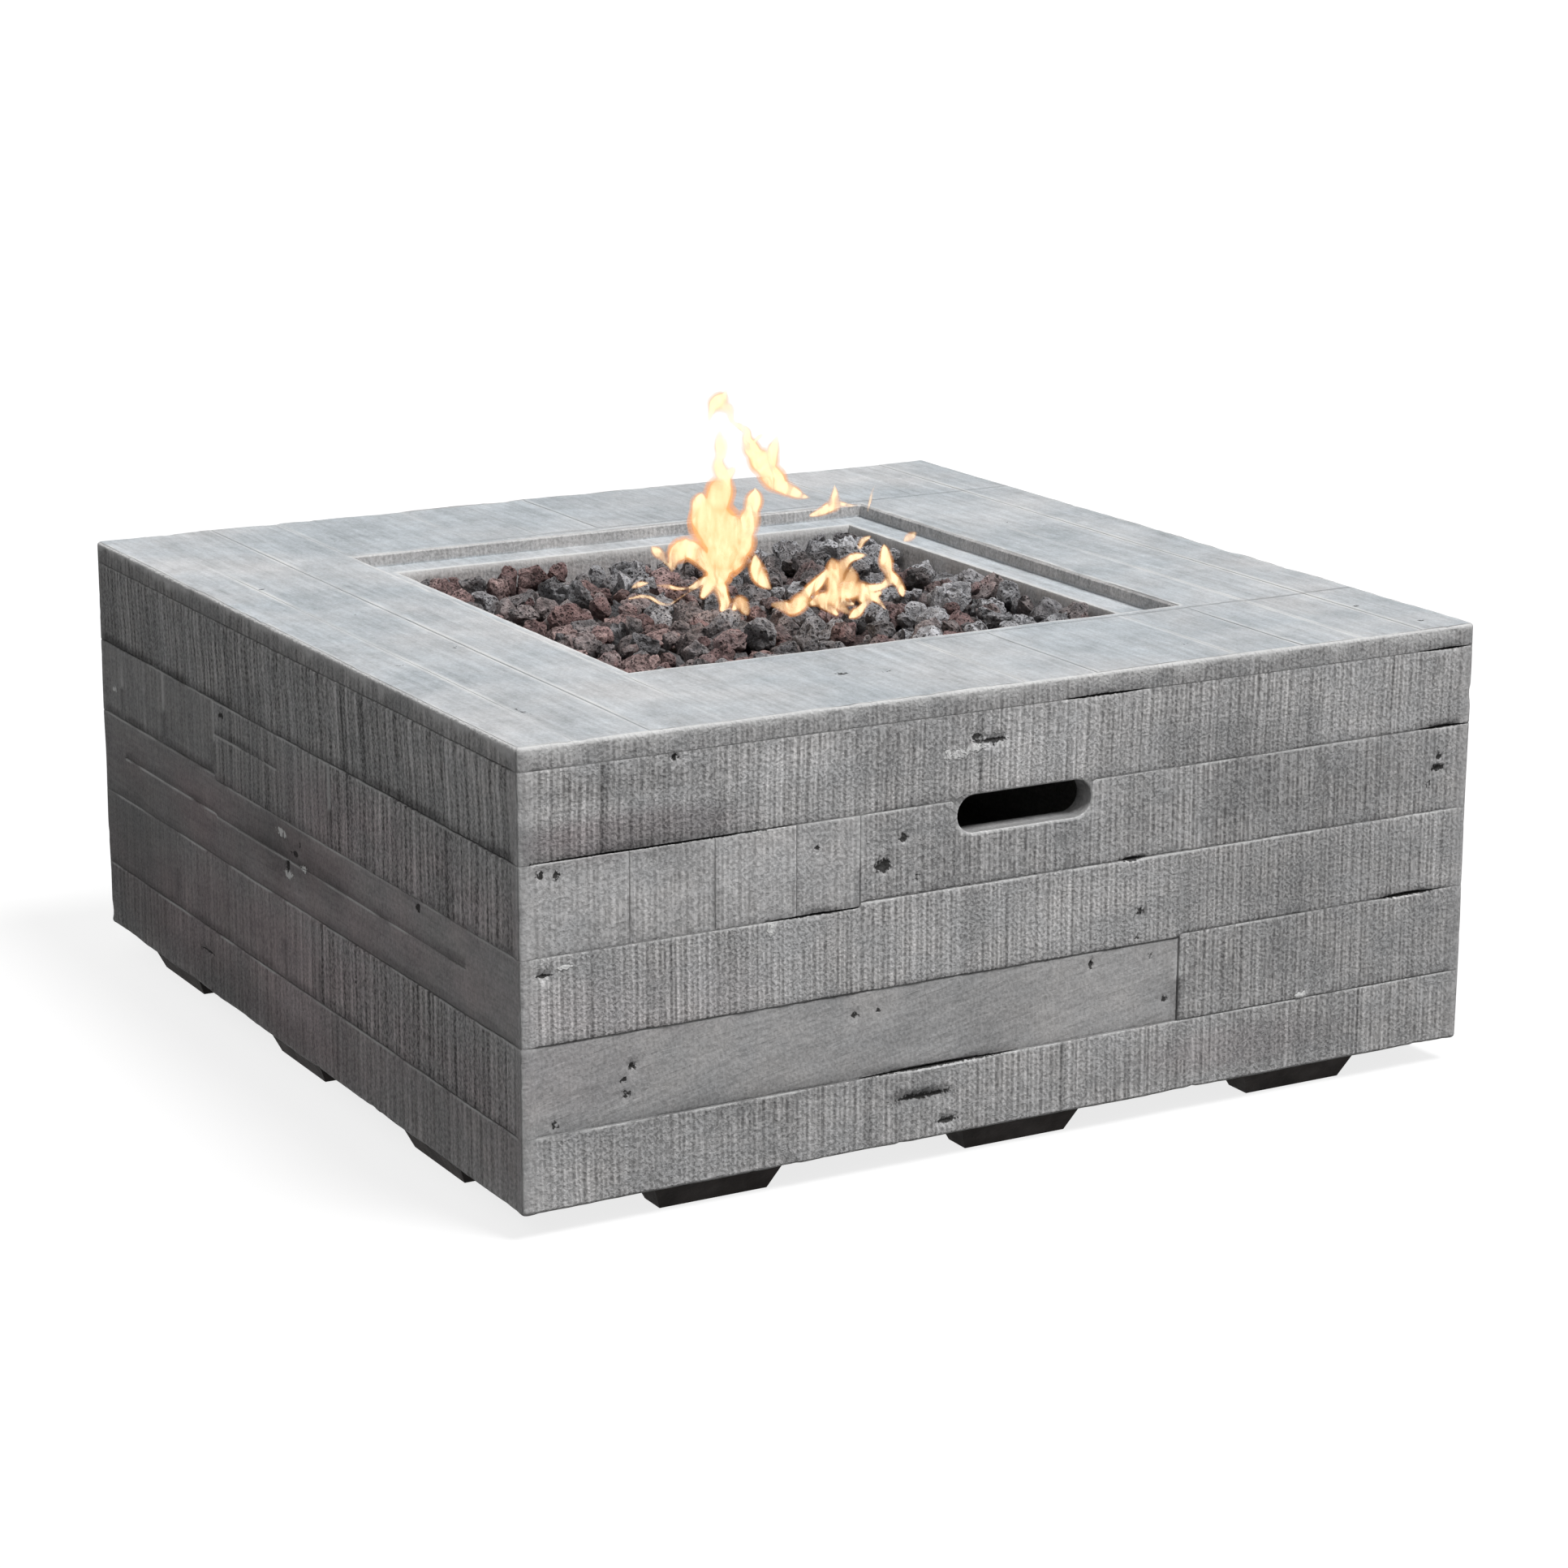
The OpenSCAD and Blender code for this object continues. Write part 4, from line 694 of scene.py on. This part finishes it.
    under, rim_low = drawn_in(RIM_IN, UNDER), drawn_in(RIM_IN, RIM_TOP)
    hollow_low, hollow_top = drawn_in(HALF - WALL, RIM_TOP), drawn_in(HALF - WALL, SLAB_UNDER)
    for upper, lower in ((rows[-1], under), (under, rim_low), (rim_low, hollow_low)):
        shell.loft(upper, lower)
    straight = np.abs(along - HALF) <= HALF - CORNER_R + TINY
    for k, here in enumerate(walls):
        run = here[straight[here]]
        following = (run + 1) % len(edge)
        if k not in mouths:
            shell.quads(hollow_low[run], hollow_low[following], hollow_top[following], hollow_top[run])
            continue
        mouth, mouth_along = mouths[k]
        half = len(mouth) // 2
        top_mid = np.abs(mouth_along[:half] - HALF).argmin()
        low_mid = half + np.abs(mouth_along[half:] - HALF).argmin()
        mid = np.abs(along[run] - HALF).argmin()
        first_half, second_half = run[:mid + 1], np.append(run[mid:], following[-1])
        left_way = np.concatenate([mouth[low_mid:], mouth[:top_mid + 1]])
        right_way = mouth[top_mid:low_mid + 1]
        shell.faces.append([*hollow_low[first_half], *left_way, *hollow_top[first_half][::-1]])
        shell.faces.append([*hollow_low[second_half], *hollow_top[second_half][::-1], *right_way])
    bend = np.where(~straight)[0]
    following = (bend + 1) % len(edge)
    shell.quads(hollow_low[bend], hollow_low[following], hollow_top[following], hollow_top[bend])

    # Recess, ledge, basin and lip
    (near_x, far_x), (near_y, far_y) = [[np.abs(lines - v).argmin() for v in (-hole, hole)]
                                        for lines in (x_lines, y_lines)]
    ring = rim_of(near_x, far_x, near_y, far_y)
    inner = np.concatenate(shell.points)[ring][:, :2]
    profile = [(hole - 0.6, TOP - 0.6), (RECESS, TOP - 2)]
    profile += [(RECESS, z) for z in np.linspace(TOP - 4.5, LEDGE_Z, 4)]
    profile += [(reach, LEDGE_Z) for reach in np.linspace(RECESS - 1.5, BASIN + 2, 8)]
    profile += [(BASIN + 0.6, LEDGE_Z - 0.6)]
    profile += [(BASIN, z) for z in np.linspace(LEDGE_Z - 2, LIP_Z, 12)]
    profile += [(LIP, LIP_Z), (LIP, LIP_UNDER), (BASIN_OUT, LIP_UNDER), (BASIN_OUT, SLAB_UNDER)]
    last_ring = ring
    for reach, height in profile:
        places = at_height(inner * (reach / hole), height)
        seen = height > LIP_Z + 1
        rough = 0.5 * layers(places, (16, 16, 22), 12) if seen else np.zeros(len(places))
        lip_edge = min(abs(height - TOP) + abs(reach - hole), abs(height - LEDGE_Z) + abs(reach - BASIN))
        worn = 0.8 if lip_edge < 3.5 else 0.0
        ledge = abs(height - LEDGE_Z) < 0.1
        wall_like = seen and not ledge
        places[:, :2] *= 1 + (rough / reach)[:, None] * wall_like
        places[:, 2] -= 0.5 * np.abs(rough) * ledge
        # Painted light: the right wall of the basin is a fifth lighter, as if lit by light thrown back from
        # the ledge and stones.
        painted_bounce = 1.0 + 0.2 * (places[:, 0] > BASIN - 2) * (reach < BASIN + 1)
        numbers = shell.add(places, tone=1.1 if ledge else painted_bounce, worn=worn, sawn=0.35 * wall_like,
                            stain=0.2 * (height < LEDGE_Z - 8), level=1.0 * ledge)
        shell.loft(last_ring, numbers)
        last_ring = numbers

    # Underside of the slab, one face a side, from corner to corner
    basin_sides = np.split(np.arange(len(ring)), np.cumsum([far_x - near_x, far_y - near_y, far_x - near_x]))
    for outer, within in zip(walls, basin_sides):
        outer = np.append(outer, (outer[-1] + 1) % len(edge))
        within = np.append(within, (within[-1] + 1) % len(ring))
        shell.faces.append([*hollow_top[outer], *last_ring[within][::-1]])
    return shell.piece("casting", sharp=38)


def concrete_look():
    look = material("concrete", Specular_IOR_Level=0.12)
    sawn, level, board = look.attribute("sawn"), look.attribute("level"), look.attribute("board")
    look.shift = look.node("CombineXYZ", {0: board, 1: board, 2: board})
    column = look.span(look.columns(4.6, 8.5), -0.3, 0.3, -0.5, 0.5)
    coarse = look.span(look.columns(10, 21), -0.35, 0.35, -0.5, 0.5)
    stroke = look.noise((3, 3, 14), rough=0.6)
    grain = look.noise((2.3, 2.3, 2.8), detail=2, rough=0.5)
    speck = look.span(grain, -0.13, 0.13, -0.5, 0.5)
    band = look.noise((26, 26, 300), detail=2)
    line = look.span(look.noise((16, 16, 900), detail=1), -0.17, -0.23)
    ply = look.noise((44, 44, 3.4), detail=4, rough=0.6, warp=0.6, turn=-0.2)
    brush = look.noise((6, 20, 6), detail=4, rough=0.65)
    streak = look.noise((6, 190, 6), rough=0.6)
    grit = look.noise(0.9, detail=2)
    look.shift = None
    cloud = look.noise((160, 160, 110), detail=5, rough=0.6)
    patch = look.noise((45, 45, 33), detail=4, rough=0.65)

    smooth = look.math("MAXIMUM", look.math("SUBTRACT", look.math("SUBTRACT", 1.0, sawn), level), 0.0)
    clear = look.span(look.total((patch, 1.0), (band, 0.5)), -0.2, 0.17, 0.15, 1.1)
    lined = look.times(look.total((column, 0.42), (coarse, 0.3)), clear)
    rough = look.total((lined, 1.0), (stroke, 0.5), (speck, 0.46), (band, 0.6), (line, -0.25))
    saw_marks = look.times(rough, sawn)
    plain_marks = look.times(look.total((ply, 0.7), (grain, 0.8), (stroke, 0.2)), smooth)
    top_marks = look.times(look.total((brush, 0.5), (streak, 0.55), (speck, 0.13), (patch, 0.25)), level)
    marks = look.total((saw_marks, 1.0), (plain_marks, 1.0), (top_marks, 1.0))
    light = look.total((marks, 1.0), (grit, 0.25), (cloud, 0.6), (patch, 0.42), (1.0, 1.0))
    light = look.times(look.math("MAXIMUM", light, 0.25), look.attribute("tone"))
    tint = look.mix(look.span(patch, -0.15, 0.2), (0.5, 0.5, 0.505), (0.512, 0.5, 0.495))
    cool = look.mix(look.span(cloud, -0.12, 0.16), (0.475, 0.511, 0.54), (0.5, 0.504, 0.512))
    colour = look.mix(1.0, look.mix(level, tint, cool), look.grey(light), "MULTIPLY")
    stain = look.times(look.attribute("stain"), look.span(cloud, -0.25, 0.1))
    colour = look.mix(stain, colour, (0.97, 0.85, 0.87), "MULTIPLY")
    # Pale edges of wear with painted highlights, and painted highlights on each proud board's upper edge.
    worn = look.times(look.attribute("worn"), look.span(patch, -0.2, 0.1, 0.6, 1.0))
    colour = look.mix(worn, colour, (0.76, 0.76, 0.755))
    torn = look.total((stroke, 1.2), (grain, 1.0))
    # Chips painted near white: pale broken concrete, with a painted glint where they catch the light.
    chip_glint = look.span(look.total((look.attribute("chip_glint"), 1.0), (torn, 1.6)), 1.1, 0.85)
    colour = look.mix(chip_glint, colour, (0.95, 0.95, 0.94))
    pit = look.span(look.math("ADD", look.attribute("pit"), torn), 1.05, 0.8)
    dark = look.math("MAXIMUM", look.times(look.attribute("groove"), 0.8), look.times(pit, 0.92))
    colour = look.mix(dark, colour, (0.03, 0.029, 0.028))
    height = look.total((saw_marks, 0.8), (plain_marks, 0.5), (top_marks, 0.8), (grit, 0.12), (pit, -1.0),
                        (chip_glint, 0.8))
    look.bump(height, 0.0009)
    look.set(Base_Color=colour, Roughness=look.span(patch, -0.3, 0.3, 0.82, 0.96))
    return look.owner


casting = concrete_piece()
casting.data.materials.append(concrete_look())
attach(casting, "pit")
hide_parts("concrete_body")


# Lava rock
def sphere(level):
    work = bmesh.new()
    bmesh.ops.create_icosphere(work, subdivisions=level, radius=1)
    points = np.array([v.co for v in work.verts])
    faces = np.array([[v.index for v in f.verts] for f in work.faces])
    work.free()
    return points, faces


def turned(points, rng):
    """Points turned about the middle by a random turn."""
    turn = Quaternion(rng.normal(size=4)).normalized().to_matrix()
    return points @ np.array(turn).T


def stone(ball, rng):
    """A broken, porous lump about 1 in radius, and how much each point lies in a hollow, for painted shade,
    and on a ridge, for a painted highlight.
    """
    points = ball * (1, rng.uniform(0.72, 0.95), rng.uniform(0.6, 0.85))
    for _ in range(STONE_BREAKS):
        way = rng.normal(size=3)
        way /= np.linalg.norm(way)
        points = points - np.outer(np.maximum(points @ way - rng.uniform(0.36, 0.7), 0), way) * 0.9
    place = ball + rng.uniform(0, 60, 3)
    lumps = 0.18 * noise(place, 0.7) + 0.12 * noise(place, 0.36, 1) + 0.06 * noise(place, 0.17, 4)
    holes = 0.1 * ramp(noise(place, 0.25, 2), 0.2, 0.6) + 0.15 * ramp(noise(place, 0.5, 3), 0.3, 0.7)
    points = points * (1.04 + lumps - holes)[:, None]
    return turned(points, rng), np.clip(holes / 0.16, 0, 1), ramp(lumps, -0.1, 0.25)


def rock_piece(name, stones, level, rng, gloom=0.0):
    """Stones, each (x, y, z, size), as one mesh with a hue, painted shade, and a tone with painted
    highlights for its material.

    Level is how finely a stone is divided, and gloom the least painted shade, for stones that lie under
    others.
    """
    ball, faces = sphere(level)
    points, corners, values = [], [], []
    for k, (x, y, z, size) in enumerate(stones):
        lump, hollow, ridge = stone(ball, rng)
        points.append(lump * size / 2 + (x, y, z))
        corners.append(faces + k * len(ball))
        leftward = np.clip(0.5 - x / (2 * ROCK_REACH), 0, 1)
        hue, shade = 0.65 * rng.random() + 0.35 * leftward, rng.random()
        # Painted shade: the lower part of each stone is darker, and stones under others darker still.
        hollow = np.maximum(hollow, 0.95 * fall((points[-1][:, 2] - z) / size, -0.2, 0.22))
        hollow = np.maximum(hollow, gloom)
        values.append(np.stack([np.full(len(ball), hue), hollow, 0.8 * shade + 0.6 * ridge]))
    values = dict(zip(("hue", "deep", "shade"), np.concatenate(values, axis=1)))
    piece = add_mesh(name, np.concatenate(points), np.concatenate(corners).tolist(), **values)
    piece.data.set_sharp_from_angle(angle=math.radians(32))
    return piece


def bed(rng, across, low, high, smallest, largest):
    """Stones on a loose square grid, with their tops between two levels."""
    pitch = 2 * ROCK_REACH / across
    stones = []
    for i, j in product(range(across), repeat=2):
        size = rng.uniform(smallest, largest)
        spot = -ROCK_REACH + pitch * (np.array([i, j]) + 0.5 + rng.uniform(-0.34, 0.34, 2))
        room = ROCK_REACH + 1 - size * 0.46
        x, y = np.clip(spot, -room, room)
        swell = noise([[x, y, 0]], 120, 31)[0]
        top = low + (high - low) * np.clip(0.5 + 0.45 * swell + rng.uniform(-0.35, 0.35), 0, 1)
        top += 5 * ramp(x, 60, 200) * fall(y, -40, 160)
        stones.append((x, y, top - size * 0.42, size))
    return stones


def lava_look():
    look = material("lava", Specular_IOR_Level=0.25)
    patch = look.noise(17, detail=4, rough=0.6)
    fine = look.noise(2.4, detail=4, rough=0.65)
    mixed = look.math("MULTIPLY_ADD", patch, 0.5, look.attribute("hue"))
    colour = look.colours(mixed, [(0.0, (0.5, 0.5, 0.52)), (0.2, (0.3, 0.3, 0.315)),
                                  (0.42, (0.14, 0.132, 0.135)), (0.56, (0.24, 0.205, 0.203)),
                                  (0.72, (0.18, 0.115, 0.112)), (1.0, (0.34, 0.25, 0.24))])
    # The shade attribute adds a random tone for each stone and painted highlights on its ridges.
    light = look.total((fine, 3.2), (patch, 0.8), (look.attribute("shade"), 1.4), (1.0, 0.85))
    colour = look.mix(1.0, colour, look.grey(look.math("MAXIMUM", light, 0.2)), "MULTIPLY")
    # Painted shade: pores and hollows, and each stone's lower side, are darkened almost to black.
    hole = look.math("MAXIMUM", look.span(look.cells(3), 0.34, 0.16), look.span(look.cells(6.7), 0.3, 0.14))
    hole = look.math("MAXIMUM", hole, look.times(look.attribute("deep"), 0.8))
    colour = look.mix(look.times(hole, 0.75), colour, (0.02, 0.018, 0.018))
    look.bump(look.total((hole, -1.0), (fine, 1.6), (patch, 0.4)), 0.0028)
    look.set(Base_Color=colour, Roughness=look.span(fine, -0.2, 0.2, 0.8, 0.98))
    return look.owner


rng = np.random.default_rng(8)
bed_stones = bed(rng, 14, 348, 366, 28, 44)
chip_stones = [s for s in bed(rng, 16, 349, 361, 15, 24) if rng.random() < 0.4]
fill_stones = [(x, y, PAN_Z + 0.5 * size, size) for x, y, _, size in bed(rng, 15, 0, 0, 34, 42)]
fill_stones += bed(rng, 15, 334, 346, 36, 46)
lava = lava_look()
# The fill stones lie under the others and are painted dark as their shade.
rocks = [rock_piece("bed_rocks_left", [s for s in bed_stones if s[0] < 0], 4, rng),
         rock_piece("bed_rocks_right", [s for s in bed_stones if s[0] >= 0], 4, rng),
         rock_piece("bed_chips", chip_stones, 3, rng), rock_piece("bed_fill", fill_stones, 2, rng, 0.85)]
for piece in rocks:
    piece.data.materials.append(lava)
    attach(piece, "pit")
    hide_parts("lava_rocks")

# Finishes of the parts that stay as they are: colours, metal, roughness from and to, size or sizes of the
# pattern in millimetres, and relief in millimetres
FINISHES = {
    # The feet are dark rubber, painted darker still as the shade under the body.
    "foot": ([(0.008, 0.0065, 0.006), (0.024, 0.019, 0.017)], 0, (0.75, 0.95), 9, 0.25),
    "steel_screw": ([(0.5, 0.51, 0.53), (0.68, 0.68, 0.68)], 1, (0.3, 0.5), 4, 0.03),
    "stainless": ([(0.52, 0.52, 0.52), (0.66, 0.66, 0.65)], 1, (0.26, 0.42), (0.7, 60, 0.7), 0.02),
    "burner_steel": ([(0.25, 0.27, 0.36), (0.3, 0.22, 0.19), (0.48, 0.4, 0.3), (0.47, 0.45, 0.42)], 1,
                     (0.4, 0.6), 28, 0.05),
    "soot_and_shade_steel": ([(0.07, 0.066, 0.063), (0.2, 0.192, 0.185)], 1, (0.55, 0.75), 18, 0.05),
    "brass": ([(0.6, 0.45, 0.21), (0.77, 0.6, 0.31)], 1, (0.25, 0.42), 5, 0.04),
    "aluminium_tube": ([(0.68, 0.69, 0.7), (0.81, 0.82, 0.83)], 1, (0.3, 0.45), (40, 1.2, 1.2), 0.02),
    "mixer_iron": ([(0.2, 0.195, 0.19), (0.35, 0.35, 0.35)], 0.8, (0.55, 0.78), 1.8, 0.3),
    "knob": ([(0.026, 0.026, 0.028), (0.042, 0.042, 0.044)], 0, (0.38, 0.52), 0.8, 0.03),
    "button": ([(0.36, 0.024, 0.017), (0.44, 0.034, 0.024)], 0, (0.2, 0.32), 5, 0.02),
    "igniter_plastic": ([(0.026, 0.026, 0.026), (0.042, 0.042, 0.042)], 0, (0.45, 0.6), 0.9, 0.03),
    "wire_sleeve": ([(0.33, 0.048, 0.026), (0.42, 0.064, 0.034)], 0, (0.5, 0.66), 2, 0.04),
    "ceramic_white": ([(0.78, 0.76, 0.7), (0.87, 0.86, 0.82)], 0, (0.5, 0.7), 3, 0.03),
    "copper": ([(0.5, 0.26, 0.16), (0.76, 0.41, 0.25)], 1, (0.28, 0.46), 5, 0.04),
}


def finish_look(name, colours, metal, rough, cell, relief):
    look = material(name, Metallic=metal, Specular_IOR_Level=0.3)
    marks = look.noise(cell, detail=4, rough=0.6)
    grime = look.noise(24, detail=4, rough=0.6)
    share = look.span(look.total((marks, 0.7), (grime, 0.6)), -0.22, 0.22)
    stops = [(k / (len(colours) - 1), colour) for k, colour in enumerate(colours)]
    look.bump(marks, relief * MM * 3)
    look.set(Base_Color=look.colours(share, stops), Roughness=look.span(grime, 0.2, -0.2, *rough))
    return look.owner


finishes = {name: finish_look(name, *values) for name, values in FINISHES.items()}
finishes["lava"] = lava
for row in frame["record"]["subparts"]:
    # The burner pan gets a dark finish: soot, and painted shade in place of its reflections under the
    # stones.
    finish = "soot_and_shade_steel" if row["node"] == "burner_pan" else row["material_slot"]
    if finish in finishes:
        for slot in frame["nodes"][row["node"]].material_slots:
            slot.material = finishes[finish]

# Flames: tongues in two upright planes that face the camera. A point of a tongue is its place across, its
# height and its half width. Each plane has an origin and a share for its widths.
FLAME_ACROSS, FLAME_DEEP = np.array((0.871, -0.491, 0.0)), np.array((0.491, 0.871, 0.0))
FLAME_SIZE = 0.946
REAR_TONGUES = [
    [(8, 138, 0.8), (7, 130, 4), (7, 118, 4.5), (7, 106, 5), (11, 95, 7), (9, 84, 9), (4, 73, 13),
     (-2, 62, 15), (6, 50, 17), (10, 38, 17), (12, 26, 15), (8, 14, 11), (4, 4, 7), (-4, -4, 5),
     (-9, -10, 3)],
    [(12, 132, 1), (13, 124, 2), (11, 114, 2)], [(20, 104, 0.8), (15, 99, 4), (11, 92, 6)],
    [(-8, 80, 2), (-10, 72, 7), (-12, 62, 7), (-7, 52, 7), (0, 44, 6)],
    [(38, 86, 1.5), (38, 79, 6), (36, 69, 8), (33, 58, 9), (29, 46, 10), (25, 34, 11), (20, 22, 9),
     (12, 14, 6)],
    [(18, 52, 10), (18, 40, 14), (16, 30, 13)],
    [(-36, 12, 1.5), (-34, 22, 5), (-29, 29, 8), (-20, 32, 9), (-12, 27, 7), (-5, 19, 7), (2, 12, 6)],
    [(-22, 40, 1.5), (-20, 34, 6)], [(-52, 33, 2), (-48, 29, 4), (-43, 23, 3), (-38, 16, 1.5)],
    [(-73, -13, 1.4), (-64, -11, 2.2), (-54, -12, 2), (-46, -17, 1.8), (-37, -18, 1.4), (-27, -12, 1.4),
     (-13, -2, 1.6)],
    [(-70, -3, 1), (-64, 0, 2.6), (-58, 1, 1.5)],
    [(-48, -1, 1.2), (-38, -2, 2.2), (-26, -4, 2), (-14, -1, 3), (-4, 5, 4)],
    [(6, 4, 3), (8, -3, 6), (11, -11, 6.5), (13, -18, 4.5), (9, -23, 2)],
    [(18, -22, 2), (24, -16, 5.5), (28, -22, 5), (32, -26, 2)],
    [(37, 28, 1.2), (38, 21, 4), (40, 12, 6.5), (45, 4, 6.5), (50, -1, 3.5), (53, -4, 1)],
    [(-2, 145, 0.9), (-1, 152, 3.2), (3, 159, 6), (8, 163, 6.5), (12, 169, 3), (13, 174, 0.8)],
    [(8, 159, 6), (14, 156, 4.5), (16, 150, 3), (20, 144, 2.6), (27, 140, 3), (32, 136, 3.6),
     (33, 128, 4.5), (37, 119, 7), (43, 111, 12), (47, 104, 11), (53, 97, 9), (59, 90, 7.5), (67, 85, 6),
     (76, 80.5, 3.6), (86, 77.5, 1)],
    [(50, 110, 9), (54, 120, 6), (57, 128, 3), (59, 133, 1)], [(38, 127, 1.5), (42, 131, 2), (46, 134, 1)],
    [(88, 62, 2), (95, 65, 3.6), (104, 70, 5), (112, 72, 3.5), (121, 71, 1.8), (128, 71, 0.9)],
    [(107, 71, 5.5), (108, 80, 3.6), (108, 89, 0.8)], [(137, 66, 1), (140, 76, 1.6), (144, 88, 0.8)],
]
NEAR_TONGUES = [
    [(-46, -3, 2), (-38, -4, 3.6), (-30, -6, 5.5), (-22, -1, 5.5), (-17, 6, 4.2), (-12, 12, 2.6),
     (-10, 15, 1)],
    [(-13, -2, 3), (-6, 2, 6), (2, 3, 7), (8, 8, 7)], [(-4, -3, 4), (3, -7, 3.4), (9, -11, 2)],
    [(6, 8, 6), (8, 18, 6), (7, 27, 5.5), (5, 34, 3), (4, 38, 1)],
    [(9, 26, 5.5), (14, 33, 4.6), (21, 38, 3.6), (28, 40, 2.4), (34, 41, 1)],
    [(12, 8, 5.5), (18, 14, 6.5), (22, 21, 6), (23, 27, 3), (23, 31, 1)],
    [(20, 8, 5.5), (30, 11, 5), (40, 12, 4), (48, 14, 3.6), (54, 19, 3), (58, 22, 1.5)],
    [(50, 50, 1), (51, 42, 3.8), (52, 32, 5.5), (55, 23, 4.6), (61, 16, 3.6), (65, 9, 2.6), (67, 5, 1)],
    [(12, 4, 3), (16, -1, 2.8), (22, -2, 2)],
    [(20, -14, 1.5), (26, -10, 3.6), (31, -5, 3), (36, 1, 2.6), (42, 5, 2.6), (46, 8, 1.5)],
    [(67, 54, 1.5), (72, 57, 3.4), (76, 60, 1.5)], [(27, 48, 2), (30, 53, 3), (37, 57, 1.2)],
    [(-30, 0, 3), (-18, 7, 4.5), (-8, 15, 4.5), (-2, 23, 3), (0, 29, 1)],
    [(18, -9, 2), (10, -3, 4), (2, 3, 5)], [(30, 3, 3.5), (38, 5, 3.5), (45, 1, 2.6), (51, -6, 1.2)],
]
FLAMES = [((-67, -49, 386), 1.08, REAR_TONGUES), ((-17, -154, 386), 1.25, NEAR_TONGUES)]


def curve(points, step):
    """Points on a smooth curve through the points given, about a step apart."""
    points = np.array(points, float)
    points = np.vstack([2 * points[0] - points[1], points, 2 * points[-1] - points[-2]])
    parts = []
    for a, b, c, d in zip(points, points[1:], points[2:], points[3:]):
        t = np.linspace(0, 1, max(2, math.ceil(np.linalg.norm(c - b) / step)), endpoint=False)[:, None]
        parts.append(b + 0.5 * t * (c - a + t * (2 * a - 5 * b + 4 * c - d + t * (3 * (b - c) + d - a))))
    return np.vstack(parts + [points[-2:-1]])


def flame(name, share, density, thin, glow):
    """The tongues at a share of their width, as a glowing gas that thins in places to a share."""
    ball, faces = sphere(2)
    points = []
    for origin, width, tongues in FLAMES:
        for number, tongue in enumerate(tongues):
            path = curve(tongue, 1.2) * FLAME_SIZE
            seeds = at_height(path[:, :2], 40.0 * number)
            path[:, 0] += 1.6 * noise(seeds, 11, 22)
            path[:, 2] *= width * (1 + 0.35 * noise(seeds, 9, 23))
            for across, height, half in path:
                half = max(half * share, 0.9)
                lump = np.outer(ball[:, 0], FLAME_ACROSS) + np.outer(ball[:, 1] * 0.6, FLAME_DEEP)
                lump[:, 2] += ball[:, 2]
                points.append(lump * half + np.array(origin) + across * FLAME_ACROSS + (0, 0, height))
    corners = [faces + k * len(ball) for k in range(len(points))]
    piece = add_mesh(name, np.concatenate(points), np.concatenate(corners).tolist())
    join = piece.modifiers.new("join", "REMESH")
    join.mode = "VOXEL"
    join.voxel_size = 0.8 * MM
    soft = piece.modifiers.new("soft", "SMOOTH")
    soft.iterations = 4
    look = material(name)
    thick = look.span(look.noise((9, 9, 22), warp=0.8), -0.06, 0.14, density * thin, density)
    settings = {"Color": (0.0, 0.0, 0.0), "Absorption Color": (0.0, 0.0, 0.0), "Density": thick,
                "Emission Strength": thick, "Emission Color": glow}
    gas = look.node("VolumePrincipled", settings)
    look.tree.nodes.remove(look.shader)
    look.fill(look.tree.nodes["Material Output"], {"Volume": gas})
    piece.data.materials.append(look.owner)
    piece.visible_shadow = False


flame("flame_halo", 1.15, 120.0, 0.4, (1.1, 0.44, 0.14))
flame("flame_body", 0.92, 170.0, 0.35, (1.3, 0.7, 0.27))
flame("flame_core", 0.76, 600.0, 0.07, (1.9, 1.7, 1.15))

# Floor and light
FLOOR_REACH = 60000
floor_corners = np.array([(-1, -1, 0), (1, -1, 0), (1, 1, 0), (-1, 1, 0)]) * FLOOR_REACH
floor = add_mesh("floor", floor_corners, [(0, 1, 2, 3)])


def seen_ray(look):
    """1 where a ray shows the background: from the camera, a mirror or through glass."""
    path = look.tree.nodes.new("ShaderNodeLightPath")
    seen = look.math("MAXIMUM", path.outputs["Is Camera Ray"], path.outputs["Is Glossy Ray"])
    return look.math("MAXIMUM", seen, path.outputs["Is Transmission Ray"])


look = material("floor", Roughness=0.9, Emission_Color=(1.0, 1.0, 1.0))
seen = seen_ray(look)
look.set(Base_Color=look.mix(seen, (0.07, 0.07, 0.07), (0.2, 0.2, 0.2)),
         Emission_Strength=look.times(seen, 0.8))
floor.data.materials.append(look.owner)

world = bpy.data.worlds.new("world")
bpy.context.scene.world = world
look = Look(world, "Background")
look.set(Color=(1.0, 1.0, 1.0), Strength=look.span(seen_ray(look), 0.0, 1.0, 0.07, 1.0))


def sun(name, towards, power, spread):
    """A far lamp, in the direction given."""
    data = bpy.data.lights.new(name, "SUN")
    data.energy = power
    data.angle = math.radians(spread)
    lamp = bpy.data.objects.new(name, data)
    x, y, z = towards
    lamp.rotation_euler = (math.atan2(math.hypot(x, y), z), 0, math.atan2(y, x) + math.pi / 2)
    bpy.context.collection.objects.link(lamp)


sun("key", (0.25, -0.4, 0.882), 2.95, 20)
sun("side_fill", (-0.62, -0.42, 0.66), 0.5, 30)
sun("back_fill", (0.1, 0.9, 0.43), 0.5, 40)

bpy.context.scene.view_settings.view_transform = "Standard"
